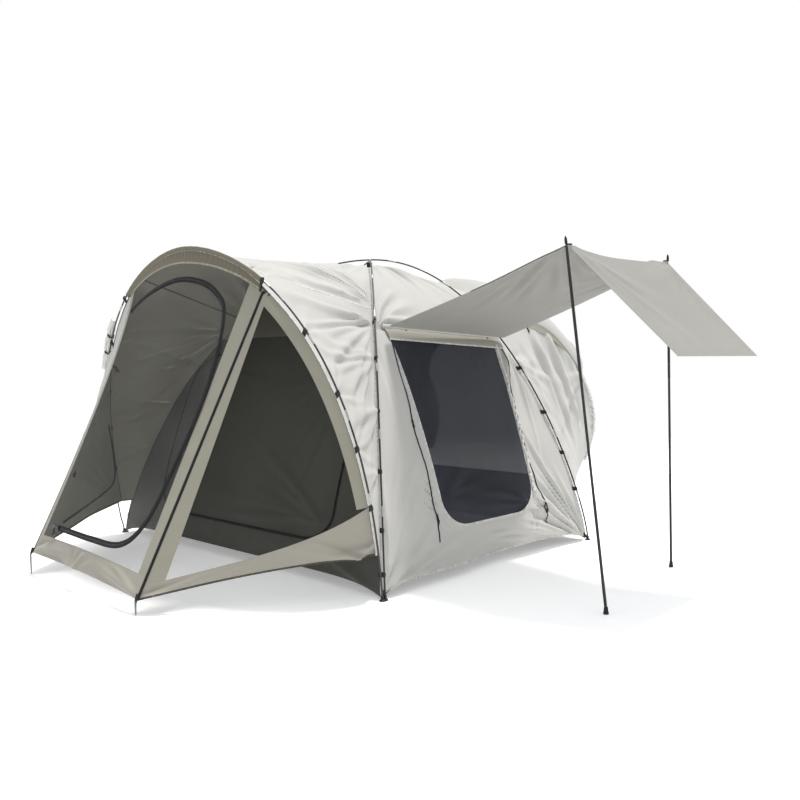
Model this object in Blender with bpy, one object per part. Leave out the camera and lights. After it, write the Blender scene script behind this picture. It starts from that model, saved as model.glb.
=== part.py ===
# Tailgate tent, pitched: a front porch under a leaning hoop, a square room under two
# crossed poles, a raised side door carried as an awning on two poles, and a sleeve with an
# elastic rim behind the room. Metres, +Z up, ground at z = 0. +X is the awning
# side, called near, -X is the far side, and -Y is the porch front. While it is modelled,
# x = 0 is the tent's centreline and y = 0 the line between the two front feet of the
# room; at the end the origin goes to the middle of the outline on the ground.

import math

import bpy
import numpy as np

# Driving dimensions
HALF_WIDTH = 1.45            # centreline to each foot of the room
ROOM_LENGTH = 2.08           # front feet to rear feet
HUB_Y = 1.32                 # where the two room poles cross
HUB_HEIGHT = 2.086
HOOP_HEIGHT = 2.036
HOOP_LEAN = -0.33            # how far the top of the hoop leans forward
POLE_R = 0.0055              # glass fibre poles, 11 mm
FOOT_GAP = 0.011             # hoop and room pole stand side by side on one foot
POLE_TIP = 0.030             # upright length at each end of a pole
FOOT_SIZE = 0.036            # half the side of each corner foot
FOOT_TOP = 0.009
LEG_CURVE = (0.666, 1.004, 0.12)
HOOP_CURVE = (0.325, 1.118, 0.821)

FABRIC = 0.005               # thickness of the plain solids that stand for cloth
MESH = 0.003                 # and of those that stand for mesh
SEAM = 0.009                 # gap from a seam line to the edge of each panel
TOUCH = 0.0003               # gap between pieces that bear on each other
FABRIC_IN = 0.020            # cloth hangs this far inside the room's poles and the hoop's crown
ARCH_IN = 0.036              # and this far inside the hoop's sides, where clips carry it
ARCH_T = (0.34, 0.48)        # from where to where along the hoop the one grows to the other
HUB_DROP = 0.060             # cloth hangs this far under the crossing
STRAP_GAP = 0.004            # the strap hangs just under the lower pole

EAVE_Z = 1.50                # top of the walls, where the awning starts
EAVE_BULGE = 0.055           # how far the awning pulls the eave out from the legs
HEM_LOW = 0.014              # hem height at the feet
HEM_RISE = 0.058             # how much the hem rises between the feet
GUSSET_Z = 0.26              # lower edge of the side gussets and of the porch's side hem
SEAM_T = 0.30                # place of the roof seam along hoop and legs
LINING_T = 0.16              # the front wall's upper part starts here, below the hub
LINING_IN = 0.022
LINING_LOW = 0.014

PORCH_HALF = 0.668           # centreline to each front corner of the porch
PORCH_DEPTH = 1.035
PORCH_LIFT = (0.132, 0.079)  # height of the porch's far and near corner
PORCH_TOP_T = (0.38, 0.43)   # where its far and near corner seams meet the hoop
PORCH_HEM_RISE = 0.022       # rise of its side hems between corner and hoop
PORCH_BOW = 0.105            # its far corner seam is drawn in between hoop and corner
FRONT_OF_HOOP = np.array([0.0, -0.016, 0.0])     # the porch is sewn on in front of the hoop
SILL_DEPTH = 0.125           # height of the porch's bottom band

AWNING_Y = (0.579, 1.775)    # front and rear end of the awning on the wall
AWNING_WALL_Z = (1.530, 1.475)
AWNING_WALL_X = 0.940
AWNING_POLE_TOP = ((2.227, 0.616, 1.905), (2.227, 1.758, 1.905))
AWNING_POLE_FOOT = ((2.472, 0.585), (2.269, 1.716))
AWNING_EDGE = ((2.806, 0.694, 1.309), (2.806, 1.683, 1.309))
AWNING_POLE_R = 0.008
AWNING_SAG = 0.030
AWNING_CLEAR = 0.015         # its edges lie this far inside the poles' pins
PIN_R = 0.003
PIN_RISE = 0.045
PIN_SHOULDER = 0.012         # the pole ends this far under the awning's corner

SLEEVE_T = 0.775             # the sleeve leaves the rear legs from the hub down to here
SLEEVE_HALF = 0.87
SLEEVE_END_Y = 2.93
SLEEVE_TOP = 1.63
SLEEVE_SHOULDER = 1.18
SLEEVE_LOW = 0.46
SLEEVE_BULGE = 0.17
HUMP = (0.235, 0.20)         # the sleeve's roof is held up, at its middle and at its seams
HUMP_DIP = 0.035             # and sags this much between them
HUMP_RISE = (0.40, 0.62)     # from where to where along the sleeve its middle rises
RIM_R = 0.016

GREY_CLOTH = (0.62, 0.61, 0.57, 1.0)
KHAKI_CLOTH = (0.36, 0.34, 0.27, 1.0)
DARK_MESH = (0.05, 0.055, 0.06, 1.0)
PALE_MESH = (0.75, 0.75, 0.75, 1.0)
BLACK = (0.02, 0.02, 0.02, 1.0)


def clear_scene():
    for item in list(bpy.data.objects):
        bpy.data.objects.remove(item)


def paint(obj, colour, roughness=0.85, metallic=0.0):
    # One plain material for each piece.
    material = bpy.data.materials.new(obj.name)
    material.use_nodes = True
    shader = material.node_tree.nodes["Principled BSDF"]
    shader.inputs["Base Color"].default_value = colour
    shader.inputs["Roughness"].default_value = roughness
    shader.inputs["Metallic"].default_value = metallic
    obj.data.materials.append(material)


def add_mesh(name, points, faces, colour, roughness=0.85, metallic=0.0, smooth=True):
    mesh = bpy.data.meshes.new(name)
    mesh.from_pydata([tuple(map(float, p)) for p in points], [], faces)
    mesh.validate()
    obj = bpy.data.objects.new(name, mesh)
    bpy.context.scene.collection.objects.link(obj)
    if smooth:
        mesh.shade_smooth()
        mesh.set_sharp_from_angle(angle=math.radians(40))
    paint(obj, colour, roughness, metallic)
    return obj


# Curves of the frame. Each pole is a cubic curve: g runs from the crown to the foot
# across the plan, and h is the share of the full height.

def pole_shape(t, curve):
    c, p, q = curve
    t = np.abs(np.asarray(t, float))
    g = 3 * (1 - t) ** 2 * t * c + 3 * (1 - t) * t ** 2 * p + t ** 3
    h = (1 - t) ** 3 + 3 * (1 - t) ** 2 * t + 3 * (1 - t) * t ** 2 * q
    return g, h


def hoop_at(t):
    # t from -1 at the far foot, over the top at 0, to 1 at the near foot.
    g, h = pole_shape(t, HOOP_CURVE)
    return np.stack([np.sign(t) * HALF_WIDTH * g, HOOP_LEAN * h, HOOP_HEIGHT * h], -1)


def leg_at(side, rear, t):
    # t from 0 at the hub to 1 at the foot; side is 1 near, -1 far.
    g, h = pole_shape(t, LEG_CURVE)
    foot_y = ROOM_LENGTH if rear else 0.0
    return np.stack([side * HALF_WIDTH * g, HUB_Y + (foot_y - HUB_Y) * g, HUB_HEIGHT * h], -1)


def leg_share(z):
    # Share of the plan that a leg has reached when it is down at height z.
    t = np.linspace(0, 1, 400)
    g, h = pole_shape(t, LEG_CURVE)
    return np.interp(z / HUB_HEIGHT, h[::-1], g[::-1])


def cloth_leg(side, rear, t):
    # The seam under a leg: a little inside the pole, and lower near the hub.
    p = leg_at(side, rear, t)
    t = np.asarray(t, float)
    inward = side * FABRIC_IN * np.clip(np.abs(p[..., 0]) / 0.2, 0, 1)
    drop = HUB_DROP * (1 + 6.0 * t ** 2) * np.clip(1 - t / 0.5, 0, 1) ** 1.2
    return p - np.stack([inward, 0 * t, drop], -1)


def crown_profile(share):
    # Rises fast from 0 at both ends to 1 over most of the middle.
    return 1 - (1 - np.sin(math.pi * np.clip(share, 0, 1))) ** 6


def cloth_hoop(t):
    # The seam under the hoop: behind the pole and a little inside it.
    side = np.clip((np.abs(t) - ARCH_T[0]) / (ARCH_T[1] - ARCH_T[0]), 0, 1)
    inner = FABRIC_IN + (ARCH_IN - FABRIC_IN) * side
    keep = np.stack([1 - inner / HALF_WIDTH, 1 + 0 * inner, 1 - inner / HOOP_HEIGHT], -1)
    return hoop_at(t) * keep + np.array([0.0, 0.006, 0.0])


# Solids

def sheet(name, grid, colour, thickness=FABRIC, loop=False):
    # Closed solid of even thickness about a grid of points, rows by columns. A looped
    # grid closes on itself along its columns.
    rows, cols = grid.shape[:2]
    wrap = np.concatenate([grid[:, -1:], grid, grid[:, :1]], 1) if loop else grid
    along = np.gradient(wrap, axis=1)
    across = np.gradient(wrap, axis=0)
    normal = np.cross(along, across)
    normal /= np.maximum(np.linalg.norm(normal, axis=-1, keepdims=True), 1e-9)
    if loop:
        normal = normal[:, 1:-1]
    points = np.concatenate([(grid + normal * thickness / 2).reshape(-1, 3),
                             (grid - normal * thickness / 2).reshape(-1, 3)])
    size = rows * cols
    faces = []
    last = cols if loop else cols - 1
    for i in range(rows - 1):
        for j in range(last):
            k = (j + 1) % cols
            a, b, c, d = i * cols + j, i * cols + k, (i + 1) * cols + k, (i + 1) * cols + j
            faces.append((a, b, c, d))
            faces.append((size + a, size + d, size + c, size + b))
    for j in range(last):
        k = (j + 1) % cols
        e = (rows - 1) * cols
        faces.append((k, j, size + j, size + k))
        faces.append((e + j, e + k, size + e + k, size + e + j))
    if not loop:
        for i in range(rows - 1):
            a, b = i * cols, (i + 1) * cols
            faces.append((a, b, size + b, size + a))
            faces.append((b + cols - 1, a + cols - 1, size + a + cols - 1, size + b + cols - 1))
    return add_mesh(name, points, faces, colour)


def tube(name, path, radius, colour, roughness=0.5, metallic=0.0, sides=8):
    # Round bar along a list of points, with flat ends square to the path's own ends. The
    # radius is one number, or one for each point.
    path = np.asarray(path, float)
    radius = np.broadcast_to(radius, len(path))
    heading = np.gradient(path, axis=0)
    heading /= np.linalg.norm(heading, axis=1, keepdims=True)
    guide = np.array([0.0, 0.0, 1.0]) if abs(heading[0][2]) < 0.9 else np.array([1.0, 0.0, 0.0])
    right = np.cross(heading[0], guide)
    right /= np.linalg.norm(right)
    rings = []
    for point, ahead, r in zip(path, heading, radius):
        right = right - ahead * np.dot(right, ahead)
        right /= np.linalg.norm(right)
        up = np.cross(right, ahead)
        angle = np.arange(sides) * 2 * math.pi / sides
        rings.append(point + r * (np.outer(np.cos(angle), right) + np.outer(np.sin(angle), up)))
    points = np.concatenate(rings)
    faces = [tuple(range(sides))[::-1],
             tuple(range((len(path) - 1) * sides, len(path) * sides))]
    for i in range(len(path) - 1):
        for j in range(sides):
            k = (j + 1) % sides
            faces.append((i * sides + j, i * sides + k, (i + 1) * sides + k, (i + 1) * sides + j))
    obj = add_mesh(name, points, faces, colour, roughness, metallic)
    return face_outwards(obj)


def face_outwards(obj):
    # Turns a closed mesh right side out if its volume comes out negative.
    mesh = obj.data
    mesh.calc_loop_triangles()
    volume = 0.0
    for tri in mesh.loop_triangles:
        a, b, c = (mesh.vertices[i].co for i in tri.vertices)
        volume += a.dot(b.cross(c))
    if volume < 0:
        mesh.flip_normals()
    return obj


def block(name, low, high, colour, roughness=0.6):
    (x0, y0, z0), (x1, y1, z1) = low, high
    points = [(x, y, z) for z in (z0, z1) for y in (y0, y1) for x in (x0, x1)]
    faces = [(0, 2, 3, 1), (4, 5, 7, 6), (0, 1, 5, 4), (2, 6, 7, 3), (0, 4, 6, 2), (1, 3, 7, 5)]
    return add_mesh(name, points, faces, colour, roughness, smooth=False)


def panel(name, grid, colour, thickness=FABRIC, loop=False):
    return face_outwards(sheet(name, grid, colour, thickness, loop))


def ruled(edge_a, edge_b, steps):
    # Straight lines from one edge curve to the other, after both are drawn back a seam gap.
    span = edge_b - edge_a
    length = np.linalg.norm(span, axis=1, keepdims=True)
    back = np.minimum(SEAM / np.maximum(length, 1e-6), 0.35)
    start, end = edge_a + span * back, edge_b - span * back
    share = np.linspace(0, 1, steps)[None, :, None]
    return start[:, None] * (1 - share) + end[:, None] * share


# Frame

def stand(path):
    # Ends a pole upright on its foot, so that its flat end bears on the plate.
    for end, beside in ((0, 1), (-1, -2)):
        path[end, 2] = FOOT_TOP
        path[beside] = path[end] + np.array([0.0, 0.0, POLE_TIP])
    return path


def build_poles():
    t = np.linspace(-1, 1, 45)
    hoop = hoop_at(t)
    hoop[:, 1] -= FOOT_GAP * np.abs(t) ** 4
    tube("front_hoop_pole", stand(hoop), POLE_R, BLACK)
    t = np.linspace(0, 1, 23)
    crossing = 2 * POLE_R + 0.001
    for name, front_side, lift in (("roof_pole_under", 1, 0.0), ("roof_pole_over", -1, crossing)):
        front = leg_at(front_side, False, t)[::-1]
        rear = leg_at(-front_side, True, t)[1:]
        path = np.concatenate([front, rear])
        front_t = np.concatenate([t[::-1], t[1:]])
        path[:, 1] += FOOT_GAP * front_t ** 4 * np.concatenate([np.ones(len(t)), np.zeros(len(t) - 1)])
        path[:, 2] += lift * np.clip(1 - front_t / 0.3, 0, 1)
        tube(name, stand(path), POLE_R, BLACK)


def build_feet():
    for name, side, y in (("foot_front_near", 1, 0.0), ("foot_front_far", -1, 0.0),
                          ("foot_rear_near", 1, ROOM_LENGTH), ("foot_rear_far", -1, ROOM_LENGTH)):
        x = side * HALF_WIDTH
        block(name, (x - FOOT_SIZE, y - FOOT_SIZE, 0.0), (x + FOOT_SIZE, y + FOOT_SIZE, FOOT_TOP - TOUCH), BLACK)


def build_hub_strap():
    # Webbing that hangs the cloth from the crossing.
    top = HUB_HEIGHT - POLE_R - STRAP_GAP
    low = HUB_HEIGHT - HUB_DROP + FABRIC
    block("hub_strap", (-0.018, HUB_Y - 0.012, low), (0.018, HUB_Y + 0.012, top), BLACK)


def build_awning_poles():
    for label, top, foot in zip(("front", "rear"), AWNING_POLE_TOP, AWNING_POLE_FOOT):
        cap = 0.024
        high = np.array(top)
        low = np.array([foot[0], foot[1], cap])
        lean = (high - low) / np.linalg.norm(high - low)
        reach = np.linalg.norm(high - low)
        stops = np.array([0.0, reach / 2, reach - PIN_SHOULDER, reach - PIN_SHOULDER + TOUCH,
                          reach + PIN_RISE])
        radius = np.array([AWNING_POLE_R] * 3 + [PIN_R] * 2)
        tube("awning_pole_" + label, low + lean * stops[:, None], radius, BLACK, 0.4, 0.3, sides=10)
        base = np.array([[foot[0], foot[1], 0.0], [foot[0], foot[1], cap - 0.004]])
        tube("awning_foot_" + label, base, 0.019, BLACK, sides=12)


def porch_corner(side):
    return np.array([side * PORCH_HALF, -PORCH_DEPTH, PORCH_LIFT[0 if side < 0 else 1]])


def build_porch_pegs():
    for label, side in (("near", 1), ("far", -1)):
        x, y, z = porch_corner(side)
        path = [(x, y - 0.012, 0.0), (x, y - 0.012, z / 2), (x, y - 0.012, z - 0.006)]
        tube("porch_peg_" + label, path, 0.006, BLACK)


# Porch. The front face is ruled from the hoop's crown to the line between the two front
# corners; each side face is ruled from the corner seam to the lower part of the hoop.

def porch_bow(w):
    # How far the far corner seam is drawn in, most in its upper half.
    return PORCH_BOW * np.sin(math.pi * np.clip(w, 0, 1) ** 0.7)


def front_face(s, w):
    # s from 0 far to 1 near, w from 0 at the hoop to 1 at the bottom edge.
    s, w = np.broadcast_arrays(np.asarray(s, float), np.asarray(w, float))
    top_t = -PORCH_TOP_T[0] + (PORCH_TOP_T[0] + PORCH_TOP_T[1]) * s
    top = cloth_hoop(top_t) + FRONT_OF_HOOP
    low = porch_corner(-1) + (porch_corner(1) - porch_corner(-1)) * s[..., None]
    bow = porch_bow(w) * (1 - s) ** 1.5
    return top + (low - top) * w[..., None] + bow[..., None] * np.array([1.0, 0.0, 0.0])


def side_face(side, s, w):
    # s from 0 at the corner seam to 1 at the hoop, w from 0 at the top to 1 at the hem.
    s, w = np.broadcast_arrays(np.asarray(s, float), np.asarray(w, float))
    top_t = PORCH_TOP_T[0 if side < 0 else 1]
    top = cloth_hoop(np.array(side * top_t)) + FRONT_OF_HOOP
    seam = top + (porch_corner(side) - top) * w[..., None]
    if side < 0:
        seam = seam + porch_bow(w)[..., None] * np.array([1.0, 0.0, 0.0])
    end_t = hoop_param(GUSSET_Z)
    arc = cloth_hoop(side * (top_t + (end_t - top_t) * w)) + FRONT_OF_HOOP
    lift = PORCH_HEM_RISE * np.sin(math.pi * s) * w ** 8
    return seam + (arc - seam) * s[..., None] + lift[..., None] * np.array([0.0, 0.0, 1.0])


def hoop_param(z):
    t = np.linspace(0, 1, 400)
    h = pole_shape(t, HOOP_CURVE)[1]
    return float(np.interp(z / HOOP_HEIGHT, h[::-1], t[::-1]))


def patch(surface, s0, s1, w0, w1, cols, rows):
    # Grid over part of a face. The limits of s may change with w.
    w = np.linspace(w0, w1, rows)
    share = np.linspace(0, 1, cols)
    low = np.array([s0(x) if callable(s0) else s0 for x in w])
    high = np.array([s1(x) if callable(s1) else s1 for x in w])
    s = low[:, None] + (high - low)[:, None] * share
    return surface(s, np.repeat(w[:, None], cols, 1))


def band(surface, s, w0, w1, rows):
    # Grid over part of a face between two lines whose w is given for each s.
    share = np.linspace(0, 1, rows)[:, None]
    w = w0 + (w1 - w0) * share
    return surface(np.broadcast_to(s, w.shape), w)


FRONT_STRIP = (0.055, 0.062)     # share of the front face that each side strip takes
VISOR_W = (0.012, 0.040)         # share of it that the visor takes, at its ends and middle
FRONT_GAP = 0.008                # share left open between the pieces of the front face


def visor_edge(s):
    # Lower edge of the visor under the hoop.
    return VISOR_W[0] + (VISOR_W[1] - VISOR_W[0]) * np.sin(math.pi * s) ** 0.7


def build_porch_front():
    sill_w = 1 - SILL_DEPTH / 1.9
    far, near = FRONT_STRIP[0], 1 - FRONT_STRIP[1]
    s = np.linspace(0.012, 0.988, 15)
    panel("front_visor", band(front_face, s, 0.004 + 0 * s, visor_edge(s), 3), KHAKI_CLOTH)
    for name, edges in (("front_strip_far", (0.008, far)), ("front_strip_near", (near, 0.992))):
        s = np.linspace(*edges, 3)
        low = np.full(3, sill_w)
        panel(name, band(front_face, s, visor_edge(s) + FRONT_GAP, low, 9), KHAKI_CLOTH)
    panel("front_sill", patch(front_face, 0.008, 0.992, sill_w + 0.004, 0.998, 9, 4), GREY_CLOTH)
    s = np.linspace(far + FRONT_GAP, near - FRONT_GAP, 13)
    low = np.full(13, sill_w - 0.004)
    panel("front_mesh_door", band(front_face, s, visor_edge(s) + FRONT_GAP, low, 9), PALE_MESH, MESH)


ZIP_R = 0.006
ZIP_OUT = 0.012
FRONT_ZIP_S = (0.14, 0.905)      # far and near limits of the front door's zip
FRONT_ZIP_W = (0.092, 0.88)      # its upper and lower limits
FRONT_ZIP_TURN = ((0.20, 0.17), (0.24, 0.28))    # rounding of its top and bottom corner


def rounded_loop(s_limits, w_limits, turns, steps):
    # Open D-shaped line: along the bottom, round the near side and back over the top.
    s0, s1 = s_limits
    w0, w1 = w_limits
    (top_s, top_w), (base_s, base_w) = turns
    angle = np.linspace(0, math.pi / 2, steps)
    low_s = s1 - base_s + base_s * np.sin(angle)
    low_w = w1 - base_w + base_w * np.cos(angle)
    up_s = s1 - top_s + top_s * np.cos(angle)
    up_w = w0 + top_w - top_w * np.sin(angle)
    low_run = np.linspace(s0, s1 - base_s, steps)[:-1]
    up_run = np.linspace(s1 - top_s, s0, steps)[1:]
    level = np.ones(steps - 1)
    s = np.concatenate([low_run, low_s, up_s, up_run])
    w = np.concatenate([w1 * level, low_w, up_w, w0 * level])
    return s, w


def offset_line(points, surface, s, w, distance):
    step = 0.01
    ds = surface(np.clip(s + step, 0, 1), w) - surface(np.clip(s - step, 0, 1), w)
    dw = surface(s, np.clip(w + step, 0, 1)) - surface(s, np.clip(w - step, 0, 1))
    normal = np.cross(ds, dw)
    normal /= np.linalg.norm(normal, axis=-1, keepdims=True)
    normal *= np.sign(normal[..., 1:2]) * -1
    return points + normal * distance


def build_front_zip():
    s, w = rounded_loop(FRONT_ZIP_S, FRONT_ZIP_W, FRONT_ZIP_TURN, 9)
    line = offset_line(front_face(s, w), front_face, s, w, ZIP_OUT)
    tube("front_door_zip", line, ZIP_R, BLACK, sides=6)


def near_sill_top(s):
    # Upper edge of the near sill: low at the corner, rising towards the hoop.
    return 0.955 - 0.135 * s ** 1.6


def build_porch_sides():
    def corner_strip(w):
        return 0.062 + 0.030 / w

    def arch_strip(w):
        return 0.988 - 0.052 / max(w, 0.13)

    def near(s, w):
        return side_face(1, s, w)

    def far(s, w):
        return side_face(-1, s, w)

    gap = 0.008
    panel("near_corner_strip", patch(near, 0.012, corner_strip, 0.06, near_sill_top(0.0) - 2 * gap, 3, 9),
          KHAKI_CLOTH)
    panel("near_arch_strip", patch(near, arch_strip, 0.985, 0.09, near_sill_top(1.0) - gap, 3, 11), KHAKI_CLOTH)
    s = np.linspace(0.012, 0.985, 11)
    panel("near_sill", band(near, s, near_sill_top(s) + gap, 0.998 + 0 * s, 4), GREY_CLOTH)
    panel("porch_far_wall", patch(far, 0.012, 0.985, 0.06, 0.998, 9, 11), GREY_CLOTH)


TIED_FLAP_T = (0.52, 0.66)       # its place along the hoop
TIED_FLAP_R = 0.030


def build_tied_flap():
    # A gathered flap tied against the outside of the hoop, far side.
    t = -np.linspace(TIED_FLAP_T[0], TIED_FLAP_T[1], 7)
    path = hoop_at(t)
    along = np.gradient(path, axis=0)
    outward = np.cross(along, np.array([0.0, 1.0, 0.0]))
    outward *= np.sign(-outward[:, :1])
    outward /= np.linalg.norm(outward, axis=1, keepdims=True)
    tube("tied_flap_far", path + outward * (POLE_R + TIED_FLAP_R + 0.006), TIED_FLAP_R, GREY_CLOTH)


# Room

def side_wall_point(side, y, z):
    # A side wall follows the legs. Its upper part is pulled out between them.
    share = leg_share(z)
    along = (y - HUB_Y * (1 - share)) / (ROOM_LENGTH * share)
    bulge = EAVE_BULGE * np.clip(z / EAVE_Z, 0, 1) ** 6 * crown_profile(along)
    return np.stack([side * (HALF_WIDTH * share - FABRIC_IN + bulge), y, z], -1)


def end_wall_point(front, x, z):
    reach = HUB_Y if front else ROOM_LENGTH - HUB_Y
    share = leg_share(z)
    inset = FABRIC_IN
    y = HUB_Y - (reach * share - inset) if front else HUB_Y + (reach * share - inset)
    return np.stack([x, y + 0 * z, z], -1)


def hem_z(share):
    return HEM_LOW + HEM_RISE * crown_profile(share)


def side_limits(z):
    # Front and rear edge of a side wall at height z.
    share = leg_share(z)
    gap = SEAM + 0.012
    return HUB_Y * (1 - share) + gap, HUB_Y + (ROOM_LENGTH - HUB_Y) * share - gap


def end_limits(z):
    half = HALF_WIDTH * leg_share(z) - SEAM - 0.030
    return -half, half


DOOR_GAP = 0.006
SIDE_DOOR = (0.612, 1.540, 0.290, 1.462)     # y and z limits of the side doors
SIDE_DOOR_FLARE = 0.120      # how much further back their rear edge lies at the top
SIDE_DOOR_DROP = 0.050       # and how much lower their top is there
PORCH_DOOR = (-0.960, 0.960, 0.245, 1.380)   # x and z limits of the door into the porch
DOOR_CORNER = 0.30           # share of a door's half height that its rounded corners take
SIDE_DOOR_TURN = 1.5         # how much narrower a door's ends are than its middle
PORCH_DOOR_TURN = 0.9
DOOR_STEPS = 8               # points along each side of a door


def door_width(b, turn, lower_only):
    # Half width of a door at level b, -1 bottom to 1 top, rounded at its corners.
    b = np.asarray(b, float)
    r = DOOR_CORNER
    over = np.clip((np.abs(b) - (1 - r)) / r, 0, 1)
    if lower_only:
        over = np.where(b > 0, 0, over)
    return 1 - r * turn * (1 - np.sqrt(1 - over ** 2))


def skewed_door(u, z):
    # Side doors widen upwards along their rear edge, and their top falls towards it.
    u0, u1, z0, z1 = SIDE_DOOR
    across = np.clip((u - u0) / (u1 - u0), 0, 1)
    level = np.clip((z - z0) / (z1 - z0), 0, 1)
    return u + SIDE_DOOR_FLARE * across * level ** 1.6, z - SIDE_DOOR_DROP * across * level ** 3


def door_levels():
    # Levels from -1 to 1, closer together towards the two ends, where the corners are.
    return np.sin(np.linspace(-math.pi / 2, math.pi / 2, DOOR_STEPS + 1))


def square_loop():
    # Points round the edge of a square from -1 to 1, DOOR_STEPS on each side.
    run = door_levels()[:-1]
    one = np.ones(DOOR_STEPS)
    return (np.concatenate([run, one, -run, -one]), np.concatenate([-one, run, one, -run]))


def wall_with_door(name, lift, limits, door, turn, lower_only, top=EAVE_Z):
    # Wall with its doorway cut through: rings run from the doorway out to the wall's edge.
    a, b = square_loop()
    u0, u1, z0, z1 = door
    uc, zc, hu, hz = (u0 + u1) / 2, (z0 + z1) / 2, (u1 - u0) / 2 + DOOR_GAP, (z1 - z0) / 2 + DOOR_GAP
    inner_u = uc + hu * a * door_width(b, turn, lower_only)
    inner_z = zc + hz * b
    if lower_only:
        inner_u, inner_z = skewed_door(inner_u, inner_z)
    level = (b + 1) / 2
    outer_z = hem_z((a + 1) / 2) * (1 - level) + (top - SEAM) * level
    low, high = limits(outer_z)
    outer_u = low + (high - low) * (a + 1) / 2
    rows = []
    for r in (0.0, 0.35, 0.7, 1.0):
        u = inner_u * (1 - r) + outer_u * r
        z = inner_z * (1 - r) + outer_z * r
        rows.append(lift(u, z))
    return panel(name, np.array(rows), GREY_CLOTH, loop=True)


def door_leaf(name, lift, door, turn, lower_only, colour=GREY_CLOTH, thickness=FABRIC):
    u0, u1, z0, z1 = door
    level = door_levels()
    width = door_width(level, turn, lower_only)
    a = np.linspace(-1, 1, 7)
    u = (u0 + u1) / 2 + (u1 - u0) / 2 * width[:, None] * a
    z = np.repeat(((z0 + z1) / 2 + (z1 - z0) / 2 * level)[:, None], len(a), 1)
    if lower_only:
        u, z = skewed_door(u, z)
    return panel(name, lift(u, z), colour, thickness)


def build_walls():
    def near(y, z):
        return side_wall_point(1, y, z)

    def far(y, z):
        return side_wall_point(-1, y, z)

    def front(x, z):
        return end_wall_point(True, x, z)

    wall_with_door("near_wall", near, side_limits, SIDE_DOOR, SIDE_DOOR_TURN, True)
    door_leaf("near_door_mesh", near, SIDE_DOOR, SIDE_DOOR_TURN, True, DARK_MESH, MESH)
    wall_with_door("far_wall", far, side_limits, SIDE_DOOR, SIDE_DOOR_TURN, True)
    door_leaf("far_door", far, SIDE_DOOR, SIDE_DOOR_TURN, True)
    wall_with_door("front_wall", front, end_limits, PORCH_DOOR, PORCH_DOOR_TURN, False)
    door_leaf("porch_door", front, PORCH_DOOR, PORCH_DOOR_TURN, False)
    z = np.linspace(0, 1, 4)[:, None]
    a = np.linspace(0, 1, 9)
    level = hem_z(a) * (1 - z) + (SLEEVE_LOW - 0.03) * z
    low, high = end_limits(level)
    x = low + (high - low) * a
    panel("rear_sill", end_wall_point(False, x, level), GREY_CLOTH)


def build_roof():
    # Front roof: from the hoop's crown back to the upper legs and the hub.
    t = np.linspace(-SEAM_T + 0.006, SEAM_T - 0.006, 13)
    hoop = cloth_hoop(t)
    legs = np.where(t[:, None] < 0, cloth_leg(-1, False, np.abs(t)), cloth_leg(1, False, np.abs(t)))
    grid = ruled(hoop, legs, 9)
    grid[..., 2] -= 0.02 * np.sin(np.linspace(0, math.pi, 9)) * (1 - (np.abs(t[:, None]) / SEAM_T) ** 2)
    panel("front_roof", grid, GREY_CLOTH)
    # Gussets between the hoop and the front legs, down to the porch's hem.
    end_leg = leg_param(GUSSET_Z)
    end_hoop = hoop_param(GUSSET_Z)
    for label, side in (("near", 1), ("far", -1)):
        share = np.linspace(0, 1, 14)
        hoop = cloth_hoop(side * (SEAM_T + 0.006 + (end_hoop - SEAM_T - 0.006) * share))
        legs = cloth_leg(side, False, SEAM_T + 0.006 + (end_leg - SEAM_T - 0.006) * share)
        panel("gusset_" + label, ruled(hoop, legs, 7), GREY_CLOTH)
    # Side roofs: between the front and rear legs, from the hub down to the eave.
    eave_t = leg_param(EAVE_Z + SEAM)
    for label, side in (("near", 1), ("far", -1)):
        t = np.linspace(0.04, eave_t, 9)
        front = cloth_leg(side, False, t)
        rear = cloth_leg(side, True, t)
        grid = ruled(front, rear, 9)
        out = EAVE_BULGE * (t / eave_t) ** 3
        grid[..., 0] += side * out[:, None] * crown_profile(np.linspace(0, 1, 9))
        panel("side_roof_" + label, grid, GREY_CLOTH)
    # Upper part of the front wall: it leans back under the porch roof towards the hub.
    t = np.linspace(LINING_T, leg_param(EAVE_Z + LINING_IN + LINING_LOW), 7)
    near = cloth_leg(1, False, t) + np.array([-LINING_IN, 0.0, -LINING_LOW])
    panel("front_wall_top", ruled(near * np.array([-1, 1, 1]), near, 7), GREY_CLOTH)


def leg_param(z):
    t = np.linspace(0, 1, 400)
    h = pole_shape(t, LEG_CURVE)[1]
    return float(np.interp(z / HUB_HEIGHT, h[::-1], t[::-1]))


# Sleeve

def rim_at(u):
    # Open edge of the sleeve: over the top for |u| under the seam, then down the side.
    u = np.asarray(u, float)
    seam_u = SEAM_T / SLEEVE_T
    size = np.abs(u)
    over = np.clip(size / seam_u, 0, 1)
    down = np.clip((size - seam_u) / (1 - seam_u), 0, 1)
    angle = over * math.pi / 2
    x = SLEEVE_HALF * np.sin(angle) ** 0.85
    z = SLEEVE_SHOULDER + (SLEEVE_TOP - SLEEVE_SHOULDER) * np.cos(angle) ** 0.75
    x = x + 0.015 * np.sin(math.pi * down)
    z = z - (SLEEVE_SHOULDER - SLEEVE_LOW) * down
    y = SLEEVE_END_Y + SLEEVE_BULGE * np.sin(math.pi * np.clip(down * 0.9 + 0.02, 0, 1)) * (down > 0)
    return np.stack([np.sign(u) * x, y, z], -1)


def hump_height(size):
    # Held up most at the middle and at the roof's seams, and not at all down the sides.
    share = np.clip(size * SLEEVE_T / SEAM_T, 0, 1)
    inside = HUMP[0] + (HUMP[1] - HUMP[0]) * share - HUMP_DIP * np.sin(math.pi * share)
    fade = np.clip((size * SLEEVE_T - SEAM_T) / (0.8 * SLEEVE_T - SEAM_T), 0, 1)
    return inside * (1 - fade) ** 1.5


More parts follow.
